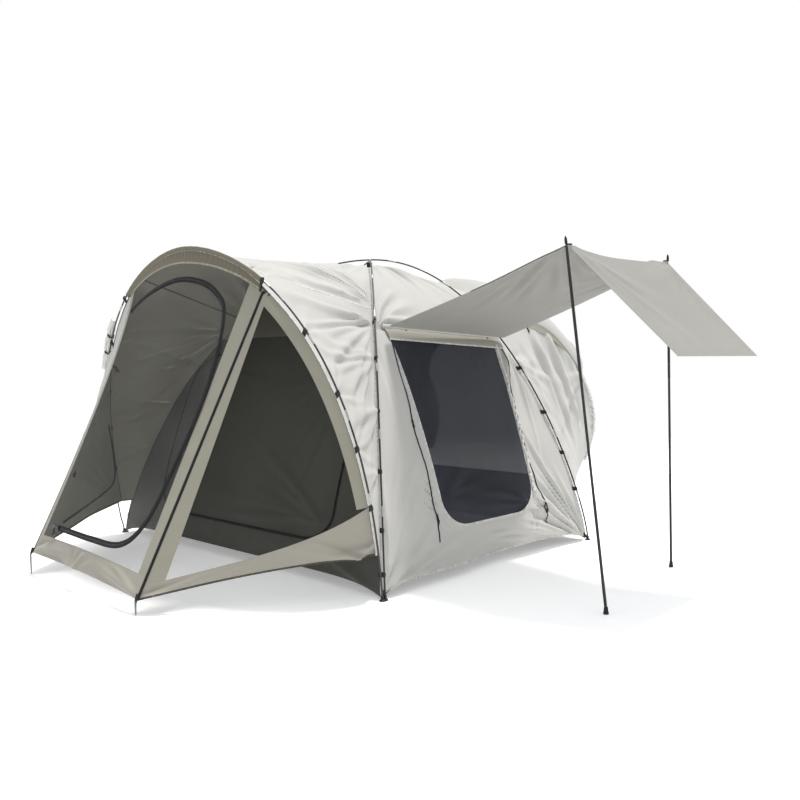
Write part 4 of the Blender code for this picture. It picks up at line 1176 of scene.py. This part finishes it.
def makeRoof():
    seam = tent["seamT"]
    t = np.linspace(-seam, seam, 116)
    hoop = clothHoop(t)
    legs = np.where(t[:, None] < 0, clothLeg(-1, False, np.abs(t)), clothLeg(1, False, np.abs(t)))
    grid = ruled(hoop, legs, 92)
    v = np.linspace(0, math.pi, 92)
    grid[..., 2] -= 0.02 * np.sin(v) * (1 - (np.abs(t[:, None]) / seam) ** 2)
    hub = (0.0, tent["hubY"])
    wrinkle = creases(grid, [0, 1], hub, (205, 335), 16, 1.5, 0.020, 81, 0.020)
    wrinkle += creases(grid, [0, 1], (0.70, 0.68), (165, 262), 10, 1.0, 0.024, 82, 0.020)
    wrinkle += creases(grid, [0, 1], (-0.70, 0.68), (278, 375), 10, 1.0, 0.024, 83, 0.020)
    wrinkle += creases(grid, [0, 1], (0.62, -0.24), (70, 160), 8, 0.8, 0.018, 85, 0.018)
    wrinkle += billow(grid, [0, 1], 0.4, 0.014, 84)
    grid = pushed(grid, wrinkle * edgeHold(grid, allEdges, 0.06), towardSky)
    clothPiece("front_roof_cloth", grid, towardSky, ["front_roof"],
               bound=allEdges)
    endLeg, endHoop = legParam(tent["gussetZ"]), hoopParam(tent["gussetZ"])
    share = np.linspace(0, 1, 140)
    for label, side, outside, seed in (("near", 1, towardNear, 201), ("far", -1, towardFar, 221)):
        hoop = clothHoop(side * (seam + (endHoop - seam) * share))
        legs = clothLeg(side, False, seam + (endLeg - seam) * share)
        grid = ruled(hoop, legs, 84)
        wrinkle = billow(grid, [1, 2], 0.35, 0.012, seed)
        for k, (clip, count, reach, height) in enumerate(((0.341, 13, 1.25, 0.026), (0.431, 8, 0.9, 0.020),
                                                          (0.541, 6, 0.7, 0.015), (0.657, 4, 0.6, 0.012))):
            spot = clothLeg(side, False, clip)[[1, 2]]
            wrinkle += creases(grid, [1, 2], spot, (160 + 4 * k, 262 - 16 * k), count, reach, height, seed + k)
        for k, clip in enumerate((0.581, 0.712, 0.803)):
            spot = clothHoop(np.array(side * clip))[[1, 2]]
            wrinkle += creases(grid, [1, 2], spot, (-40, 60), 4, 0.45, 0.011, seed + 10 + k)
        grid = pushed(grid, wrinkle * edgeHold(grid, ("left", "right", "first"), 0.05), outside)
        clothPiece("gusset_" + label + "_cloth", grid, outside, ["gusset_" + label], bound=("left", "last"))
    eaveT = legParam(tent["eaveZ"])
    t = np.linspace(0.006, eaveT, 84)
    cross = np.linspace(0, 1, 110)
    for label, side, seed in (("near", 1, 241), ("far", -1, 261)):
        grid = ruled(clothLeg(side, False, t), clothLeg(side, True, t), 110)
        grid[..., 0] += side * tent["eaveBulge"] * (t[:, None] / eaveT) ** 3 * crownProfile(cross)[None, :]
        face = (0, 180) if side > 0 else (180, 360)
        wrinkle = creases(grid, [1, 0], hub[::-1], (face[0] + 25, face[1] - 25), 14, 1.0, 0.022, seed)
        wrinkle += creases(grid, [1, 0], (0.56, side * 0.84), (side * -75, side * 20), 8, 0.7, 0.026, seed + 1)
        wrinkle += creases(grid, [1, 0], (1.78, side * 0.84), (180 - side * 20, 180 + side * 75), 8, 0.7, 0.022, seed + 2)
        grid = pushed(grid, wrinkle * edgeHold(grid, allEdges, 0.05), (side * 0.6, 0, 1))
        clothPiece("side_roof_" + label + "_cloth", grid, (side * 0.6, 0, 1), ["side_roof_" + label],
                   bound=("left", "right"))


# Sleeve

sleeve = {"t": 0.775, "half": 0.87, "endY": 2.93, "top": 1.63, "shoulder": 1.18, "low": 0.46, "bulge": 0.17,
          "hump": (0.235, 0.20), "dip": 0.035, "rise": (0.40, 0.62), "rimRadius": 0.015}
seamU = tent["seamT"] / sleeve["t"]


def rimAt(u):
    # Open edge: a half ellipse over the top, then down the side.
    size = np.abs(np.asarray(u, float))
    angle = np.clip(size / seamU, 0, 1) * math.pi / 2
    down = np.clip((size - seamU) / (1 - seamU), 0, 1)
    x = sleeve["half"] * np.sin(angle) ** 0.85 + 0.015 * np.sin(math.pi * down)
    z = sleeve["shoulder"] + (sleeve["top"] - sleeve["shoulder"]) * np.cos(angle) ** 0.75
    z = z - (sleeve["shoulder"] - sleeve["low"]) * down
    y = sleeve["endY"] + sleeve["bulge"] * np.sin(math.pi * np.clip(down * 0.9 + 0.02, 0, 1)) * (down > 0)
    return np.stack([np.sign(u) * x, y, z], -1)


def sleeveAt(u, v):
    # From the rear legs, v = 0, to the rim, v = 1, held up along a line across its middle.
    u, v = np.broadcast_arrays(np.asarray(u, float), np.asarray(v, float))
    size = np.abs(u)
    root = np.where(u[..., None] < 0, clothLeg(-1, True, size * sleeve["t"]), clothLeg(1, True, size * sleeve["t"]))
    point = root + (rimAt(u) - root) * v[..., None]
    share = np.clip(size / seamU, 0, 1)
    inside = sleeve["hump"][0] + (sleeve["hump"][1] - sleeve["hump"][0]) * share \
        - sleeve["dip"] * np.sin(math.pi * share)
    height = inside * (1 - np.clip((size - seamU) / (0.8 - seamU), 0, 1)) ** 1.5
    start, top = sleeve["rise"]
    atMiddle = smooth((v - start) / (top - start))
    atSeam = np.sin(np.clip(v / top, 0, 1) * math.pi / 2)
    down = np.sin(np.clip((1 - v) / (1 - top), 0, 1) * math.pi / 2) ** 0.9
    lift = height * (atMiddle + (atSeam - atMiddle) * share ** 2) * down
    side = 0.05 * np.sin(math.pi * v) * np.clip((size - 0.3) / 0.3, 0, 1)
    return point + np.stack([-np.sign(u) * side * 0.3, 0 * u, lift], -1)


def makeSleeve():
    v = np.linspace(0, 1, 100)
    u = np.linspace(-seamU, seamU, 100)
    grid = sleeveAt(u[:, None], v[None, :])
    wrinkle = billow(grid, [0, 1], 0.35, 0.008, 101)
    wrinkle += creases(grid, [0, 1], (0.0, 1.45), (40, 140), 12, 1.0, 0.012, 102)
    wrinkle += creases(grid, [0, 1], (0.55, 2.55), (110, 250), 9, 0.8, 0.012, 103)
    wrinkle += creases(grid, [0, 1], (-0.55, 2.55), (-70, 70), 9, 0.8, 0.012, 104)
    grid = pushed(grid, wrinkle * edgeHold(grid, allEdges, 0.06), towardSky)
    clothPiece("sleeve_roof_cloth", grid, towardSky, ["sleeve_roof"],
               bound=("left",))
    gathered = smooth((v - 0.88) / 0.12)[None, :]
    for label, side, outside, seed in (("near", 1, towardNear, 281), ("far", -1, towardFar, 301)):
        u = side * np.linspace(seamU, 1.0, 90)
        grid = sleeveAt(u[:, None], v[None, :])
        wrinkle = pleats(grid, [1, 2], (2.35, 1.60), (2.62, 0.60), 0.35, 0.19, 0.020, seed)
        wrinkle += creases(grid, [1, 2], (2.93, 1.20), (185, 265), 8, 0.9, 0.024, seed + 1, 0.02)
        wrinkle += creases(grid, [1, 2], (1.80, 1.30), (-75, 10), 9, 1.0, 0.022, seed + 2, 0.02)
        wrinkle += creases(grid, [1, 2], (2.0, 0.62), (-20, 50), 6, 0.8, 0.012, seed + 3, 0.02)
        wrinkle += billow(grid, [1, 2], 0.35, 0.008, seed + 4)
        run = np.linspace(0, 1, 90)[:, None]
        ruffle = np.sin(run * 71 + 5 * np.sin(run * 13)) + 0.6 * np.sin(run * 127 + 4 * np.sin(run * 29))
        grid = pushed(grid, wrinkle * edgeHold(grid, ("left", "first"), 0.06) + 0.005 * ruffle * gathered, outside)
        clothPiece("sleeve_side_" + label + "_cloth", grid, outside, ["sleeve_side_" + label],
                   bound=("last", "left"))
        u = side * np.linspace(seamU - 0.006, seamU + 0.028, 9)
        trim = pushed(sleeveAt(u[:, None], v[None, 3:]), np.full((9, len(v) - 3), 0.004), (side, 0, 0.5))
        clothPiece("sleeve_trim_" + label + "_cloth", trim, (side, 0, 0.5), ["sleeve_trim_" + label], khakiCloth)
        for share in (0.42, 0.62):
            layToggle(sleeveAt(side * (seamU + 0.03), share), (0, 0.3, -1), (side, 0, 0.3), 0.06)
    u = np.linspace(-1, 1, 640)
    line = rimAt(u) + np.array([0.0, 0.006, 0.0])
    ripple = 1 + 0.12 * np.sin(u * 130 + 9 * np.sin(u * 11)) + 0.10 * np.sin(u * 61 + 5 * np.sin(u * 23)) \
        + 0.08 * np.sin(u * 231 + 7 * np.sin(u * 37))
    middle = np.array([0.0, sleeve["endY"], 1.0])
    part = sweepPart(line, roundOutline(sleeve["rimRadius"], 14), unit(line - middle), ripple)
    # The rim takes the cloth lightened as painted light.
    addPiece("sleeve_rim_gather", part, ("gather",), ["sleeve_rim"])


# Awning

awning = {"y": (0.579, 1.775), "wallZ": (1.530, 1.475), "wallX": 0.940, "sag": 0.030, "clear": 0.015,
          "tops": ((2.227, 0.616, 1.905), (2.227, 1.758, 1.905)),
          "feet": ((2.472, 0.585), (2.269, 1.716)),
          "edge": ((2.806, 0.694, 1.309), (2.806, 1.683, 1.309))}


def awningAt(share, out):
    # Share runs from the front to the rear edge. Out runs from 0 at the wall to 1 at the pole
    # tips, sagging between them, and on to 2 at the flap's free edge.
    share, out = np.broadcast_arrays(share, out)
    wall = np.array([[awning["wallX"], awning["y"][0], awning["wallZ"][0]],
                     [awning["wallX"], awning["y"][1], awning["wallZ"][1]]])
    clear = np.array([0.0, awning["clear"], 0.0])
    tops = np.array(awning["tops"]) + np.stack([clear, -clear])
    edge = np.array(awning["edge"])
    k = share[..., None]
    sag = np.sin(math.pi * share)
    ridge = tops[0] + (tops[1] - tops[0]) * k - awning["sag"] * sag[..., None] * np.array([0, 0, 1.0])
    start, low = wall[0] + (wall[1] - wall[0]) * k, edge[0] + (edge[1] - edge[0]) * k
    roof, flap = np.clip(out, 0, 1), np.clip(out - 1, 0, 1)
    point = start + (ridge - start) * roof[..., None] + (low - ridge) * flap[..., None]
    dip = awning["sag"] * np.sin(math.pi * roof) * (0.4 + 0.6 * sag)
    return point - dip[..., None] * np.array([0, 0, 1.0])


def makeAwning():
    ridge = 92
    share = np.linspace(0, 1, 120)[:, None]
    out = np.concatenate([np.linspace(0, 1, ridge), np.linspace(1, 2, 50)[1:]])[None, :]
    grid = awningAt(share, out)
    wrinkle = creases(grid, [0, 1], (2.227, 0.630), (100, 178), 9, 1.25, 0.034, 121, 0.024)
    wrinkle += creases(grid, [0, 1], (2.227, 1.743), (184, 256), 8, 1.1, 0.028, 122, 0.024)
    wrinkle += creases(grid, [0, 1], (2.25, 0.660), (15, 80), 5, 0.8, 0.010, 123, 0.022)
    wrinkle += creases(grid, [0, 1], (2.25, 1.720), (-80, -15), 5, 0.7, 0.010, 124, 0.022)
    wrinkle += creases(grid, [0, 1], (0.96, 0.62), (10, 80), 5, 0.7, 0.010, 125)
    wrinkle += billow(grid, [0, 1], 0.6, 0.005, 126)
    hold = edgeHold(grid, ("left", "right"), 0.05) * (0.25 + 0.75 * edgeHold(grid, ("first", "last"), 0.08))
    grid = pushed(grid, wrinkle * hold, (0.3, 0, 1))
    header = makeAwningHeader()
    # The awning takes the cloth darkened as painted shade.
    clothPiece("awning_cloth", grid, (0.3, 0, 1), ["awning"], ("awning", "awning"))
    normal = np.array([0.0, -0.5, 1.0])
    # Dark band along the front edge's outer half: painted shade of the folded hem's underside.
    lay("darkTape", grid[0, ridge // 2:ridge], normal, 0.016, 0.0040)
    for tip in (grid[1, ridge - 1], grid[-2, ridge - 1]):
        angle = np.linspace(0, 2 * math.pi, 24, endpoint=False)[:, None]
        patchRing = tip + np.array([0.0, 0.0, 0.004]) + 0.016 * (np.array([1.0, 0, 0]) * np.cos(angle)
                                                                 + np.array([0, 1.0, 0]) * np.sin(angle))
        trims["plastic"].append(sweepPart(patchRing, roundOutline(0.003, 8), (0, 0, 1), loop=True))


def makeAwningHeader():
    # The band that stays on the wall between the awning's root and the door, with the rolled
    # eave over it and two toggles.
    look = {"drop": 0.078, "out": 0.012, "roll": 0.015}
    a = np.linspace(0, 1, 110)[None, :]
    k = np.linspace(0, 1, 16)[:, None]
    y = 0.600 + (1.760 - 0.600) * a
    z = awning["wallZ"][0] + (awning["wallZ"][1] - awning["wallZ"][0]) * a - look["drop"] * k
    grid = room(1, y + 0 * k, z) + np.array([1.0, 0, 0]) * (look["out"] + 0.008 * np.sin(math.pi * k))[..., None]
    grid[..., 0] = np.maximum(grid[..., 0], 0)
    # The header takes khaki lightened as painted light.
    header = addPiece("awning_header", clothPart(grid, towardNear), ("khakiPaintedLight", "lining"))
    bindEdges(grid, towardNear, ("last",), "greyTape", 0.010)
    line = grid[0] + np.array([-0.004, 0.0, 0.004])
    path, normal = evenly(line, 0.012, np.broadcast_to(np.array([0.5, 0.0, 1.0]), line.shape))
    ripple = 1 + 0.10 * np.sin(np.arange(len(path)) * 0.61) + 0.06 * np.sin(np.arange(len(path)) * 1.7)
    addPiece("eave_roll", sweepPart(path, roundOutline(look["roll"], 14), normal, ripple), ("cloth",))
    for share in (0.15, 0.86):
        i = int(share * 109)
        layToggle(grid[2, i], (0, 0.05, -1), towardNear, 0.085)
    return header


# Poles, clips and small parts

clips = {"hoop": (0.581, 0.712, 0.803, 0.886), "frontLeg": (0.341, 0.431, 0.541, 0.657, 0.777, 0.89),
         "rearLeg": (0.35, 0.46, 0.571, 0.673, 0.775)}


def makePoles():
    t = np.linspace(-1, 1, 161)
    hoop = hoopAt(t)
    hoop[:, 1] -= tent["footGap"] * np.abs(t) ** 4
    t = np.linspace(0, 1, 81)
    lines = [("hoop_rod", "front_hoop_pole", hoop)]
    for name, node, frontSide, lift in (("under_rod", "roof_pole_under", 1, 0.0),
                                        ("over_rod", "roof_pole_over", -1, 2 * poleRadius + 0.001)):
        path = np.concatenate([legAt(frontSide, False, t)[::-1], legAt(-frontSide, True, t)[1:]])
        frontT = np.concatenate([t[::-1], t[1:]])
        path[:, 1] += tent["footGap"] * frontT ** 4 * (np.arange(161) < 81)
        path[:, 2] += lift * np.clip(1 - frontT / 0.3, 0, 1)
        lines.append((name, node, path))
    for name, node, path in lines:
        for end, beside in ((0, 1), (-1, -2)):
            path[end, 2] = tent["footTop"]
            path[beside] = path[end] + np.array([0, 0, 0.03])
        path = evenly(path, 0.02)
        parts = [sweepPart(path, roundOutline(poleRadius, 14), (0.3, 0.9, 0.2))]
        for i in range(24, len(path) - 12, 23):      # one metal joint every 0.46 m
            parts.append(sweepPart(path[i:i + 4], roundOutline(poleRadius * 1.25, 14), (0.3, 0.9, 0.2),
                                   [0.88, 1, 1, 0.88], 1))
        addPiece(name, joined(parts), ("rod", "ferrule"), [node])


def addClip(onPole, ahead, onCloth, length=0.026):
    # A snap clip round the pole, on a webbing tab sewn into the seam.
    ahead, pull = unit(np.asarray(ahead, float)), unit(onCloth - onPole)
    body = onPole + ahead * length * np.array([[-0.5], [-0.36], [0.0], [0.36], [0.5]])
    trims["plastic"].append(sweepPart(body, roundOutline(poleRadius * 1.6, 10), (0.3, 0.5, 0.8), [0.75, 1, 1.05, 1, 0.75]))
    reach = float(np.linalg.norm(onCloth - onPole)) + 0.014
    tab = onPole + pull * np.linspace(-0.007, reach, 6)[:, None]
    trims["webbing"].append(sweepPart(tab, tapeOutline(length * 1.1, 0.0042), np.cross(pull, ahead),
                                      [0.8, 1.0, 1.0, 1.0, 1.05, 1.05]))


def makeClips():
    for side in (1, -1):
        for t in clips["hoop"]:
            spot, ahead = hoopAt(side * t), hoopAt(side * (t + 0.01)) - hoopAt(side * (t - 0.01))
            addClip(spot - np.array([0, tent["footGap"] * t ** 4, 0]), ahead, clothHoop(np.array(side * t)), 0.030)
        for t in clips["frontLeg"]:
            ahead = legAt(side, False, t + 0.01) - legAt(side, False, t - 0.01)
            addClip(legAt(side, False, t) + np.array([0, tent["footGap"] * t ** 4, 0]), ahead, clothLeg(side, False, t))
        for t in clips["rearLeg"]:
            ahead = legAt(side, True, t + 0.01) - legAt(side, True, t - 0.01)
            addClip(legAt(side, True, t), ahead, clothLeg(side, True, t) + np.array([0, -0.03, 0]))
        t = 0.42
        buckle = hoopAt(side * t) + np.array([0, -0.006, 0.012])
        down = unit(frontFace(0.5 + side * 0.5, 0.06) - buckle)
        trims["plastic"].append(sweepPart(buckle + down * np.array([[-0.006], [0.0], [0.022], [0.03]]),
                                          tapeOutline(0.026, 0.014), (0, -1, 0.3), [0.8, 1, 1, 0.7]))
        trims["webbing"].append(sweepPart(buckle + down * np.array([[0.02], [0.045], [0.075]]),
                                          tapeOutline(0.020, 0.004), (0, -1, 0.3)))


def makeAwningPoles():
    up = np.array([0.0, 0.0, 1.0])
    for label, top, foot in zip(("front", "rear"), awning["tops"], awning["feet"]):
        high, low = np.array(top), np.array([foot[0], foot[1], 0.020])
        lean = unit(high - low)
        reach = float(np.linalg.norm(high - low))
        stops = np.array([0, 0.30, 0.302, 0.62, 0.622, 0.94, 0.942, 1.0]) * (reach - 0.012)
        girth = np.array([1.0, 1.0, 0.90, 0.90, 1.0, 1.0, 0.90, 0.90])
        pole = sweepPart(low + lean * stops[:, None], roundOutline(0.008, 20), (0, 1, 0), girth)
        pin = sweepPart(high + lean * np.array([-0.012, 0.004, 0.005, 0.012, 0.030, 0.040, 0.045])[:, None],
                        roundOutline(0.0078, 14), (0, 1, 0), [0.4, 0.4, 0.95, 1.0, 0.92, 0.6, 0.25], 1)
        addPiece("awning_rod_" + label, joined([pole, pin]), ("coated", "plastic"), ["awning_pole_" + label])
        rise = np.array([0.0, 0.004, 0.010, 0.016, 0.024, 0.036])
        cap = sweepPart(np.array([foot[0], foot[1], 0.0]) + rise[:, None] * up, roundOutline(0.0145, 24), (0, 1, 0),
                        [0.96, 1.0, 0.95, 0.82, 0.78, 0.70])
        addPiece("awning_boot_" + label, cap, ("rubber",), ["awning_foot_" + label])


def makeFeet():
    # Each foot: a moulded plate with a cup for each pole, and the webbing that ties the cloth.
    up = np.array([0.0, 0.0, 1.0])
    gap = tent["footGap"]
    for node, side, y, stands in (("foot_front_near", 1, 0.0, (-gap, gap)), ("foot_front_far", -1, 0.0, (-gap, gap)),
                                  ("foot_rear_near", 1, tent["roomLength"], (0.0,)),
                                  ("foot_rear_far", -1, tent["roomLength"], (0.0,))):
        base = np.array([side * tent["halfWidth"], y, 0.0])
        oval = roundOutline(0.019, 28) * np.array([1.0, 1.0 + 0.5 * (len(stands) - 1)])
        parts = [sweepPart(base + up * np.array([[0.0], [0.002], [0.006], [0.0085]]), oval, (0, 1, 0),
                           [0.97, 1.0, 0.98, 0.86])]
        for stand in stands:
            parts.append(sweepPart(base + np.array([0, stand, 0]) + up * np.array([[0.008], [0.010], [0.026], [0.030]]),
                                   roundOutline(0.0095, 14), (0, 1, 0), [1.0, 1.0, 0.9, 0.78]))
        inward = unit(np.array([-side * 0.6, 0.5 if y == 0 else -0.5, 1.0]))
        tab = base + np.array([0, 0, 0.012]) + inward * np.array([[0.0], [0.012], [0.03], [0.055]])
        parts.append(sweepPart(tab, tapeOutline(0.020, 0.003), (side, 0, 0), None, 1))
        addPiece(node.replace("foot_", "pole_foot_"), joined(parts), ("plastic", "webbing"), [node])


def makePegs():
    for label, side in (("near", 1), ("far", -1)):
        x, y, z = porchCorner(side)
        front = y - 0.012
        peg = np.array([[x, front, 0.0], [x, front, 0.02], [x, front, z * 0.6], [x, front, z - 0.004]])
        parts = [sweepPart(peg, roundOutline(0.0055, 12), (1, 0, 0), [0.55, 0.9, 1, 1])]
        strap = np.array([[x, y + 0.004, z + 0.030], [x, y - 0.006, z + 0.006], [x, front, z - 0.014], [x, front, z - 0.034]])
        parts.append(sweepPart(strap, tapeOutline(0.026, 0.005), (0, -1, 0), [1.1, 1, 0.8, 0.55], 1))
        addPiece("corner_peg_" + label, joined(parts), ("steel", "webbing"), ["porch_peg_" + label])


def addTrims():
    for kind, parts in trims.items():
        addPiece("trims_" + kind, joined(parts), (kind,))


def dressHubStrap():
    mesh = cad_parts["hub_strap"].data
    mesh.materials.clear()
    mesh.materials.append(finishes["webbing"])


print("porch")
makePorchFront()
makeHoopSleeve()
makeFrontZip()
makePorchSides()
makeTiedFlap()
print("poles")
makePoles()
makeClips()
makeAwningPoles()
makeFeet()
makePegs()
dressHubStrap()
print("room")
makeWallTrims(*makeWalls())
makeRoof()
print("sleeve")
makeSleeve()
print("awning")
makeAwning()
addTrims()


# Camera, light and floor

def makeCamera():
    az, pitch, roll = (math.radians(camera[k]) for k in ("azimuth", "pitch", "roll"))
    look = Vector((-math.sin(az) * math.cos(pitch), math.cos(az) * math.cos(pitch), math.sin(pitch)))
    right = Vector((math.cos(az), math.sin(az), 0))
    up = right.cross(look)
    right, up = (math.cos(roll) * right + math.sin(roll) * up, -math.sin(roll) * right + math.cos(roll) * up)
    lens = bpy.data.cameras.new("camera")
    lens.lens, lens.sensor_width, lens.sensor_fit = camera["focal"], 36.0, "HORIZONTAL"
    item = bpy.data.objects.new("camera", lens)
    scene.collection.objects.link(item)
    turn = Matrix((right, up, -look)).transposed().to_4x4()
    item.matrix_world = Matrix.Translation(Vector(np.array(camera["place"]) + tentOrigin)) @ turn
    scene.camera = item


def makeLights():
    world = bpy.data.worlds.new("studio")
    world.use_nodes = True
    scene.world = world
    tree = world.node_tree
    tree.nodes.clear()
    start = Signal(tree)
    seen = start.node("ShaderNodeLightPath", out=0)
    glow = start.node("ShaderNodeBackground", sockets={0: rgba(light["skyColour"]), 1: light["sky"]})
    white = start.node("ShaderNodeBackground", sockets={0: (1, 1, 1, 1), 1: 1.0})
    both = start.node("ShaderNodeMixShader", sockets={0: seen, 1: glow, 2: white})
    out = tree.nodes.new("ShaderNodeOutputWorld")
    tree.links.new(both.socket, out.inputs[0])
    sun = bpy.data.lights.new("sun", "SUN")
    sun.energy, sun.color, sun.angle = light["sun"], light["sunColour"], math.radians(light["sunSize"])
    item = bpy.data.objects.new("sun", sun)
    scene.collection.objects.link(item)
    item.rotation_mode = "QUATERNION"
    item.rotation_quaternion = Vector(light["sunFrom"]).to_track_quat("Z", "Y")


def makeFloor():
    look = {"colour": (0.86, 0.86, 0.86), "glow": 0.32, "fadeFrom": 4.0, "fadeTo": 10.0, "radius": 12.0}
    ring = np.linspace(0.0, 1.0, 20)[:, None] * look["radius"]
    angle = np.linspace(0, 2 * math.pi, 65)[None, :-1]
    grid = np.stack([ring * np.cos(angle), ring * np.sin(angle), 0 * ring * angle - 0.001], -1)
    quads = quadsOf(20, 64, True)
    mesh = bpy.data.meshes.new("floor")
    mesh.from_pydata(grid.reshape(-1, 3).tolist(), [], quads.tolist())
    mesh.validate()
    mesh.materials.append(floorMaterial("pale floor", look))
    floor = bpy.data.objects.new("floor", mesh)
    scene.collection.objects.link(floor)


makeCamera()
makeLights()
makeFloor()
scene.view_settings.view_transform = "Standard"
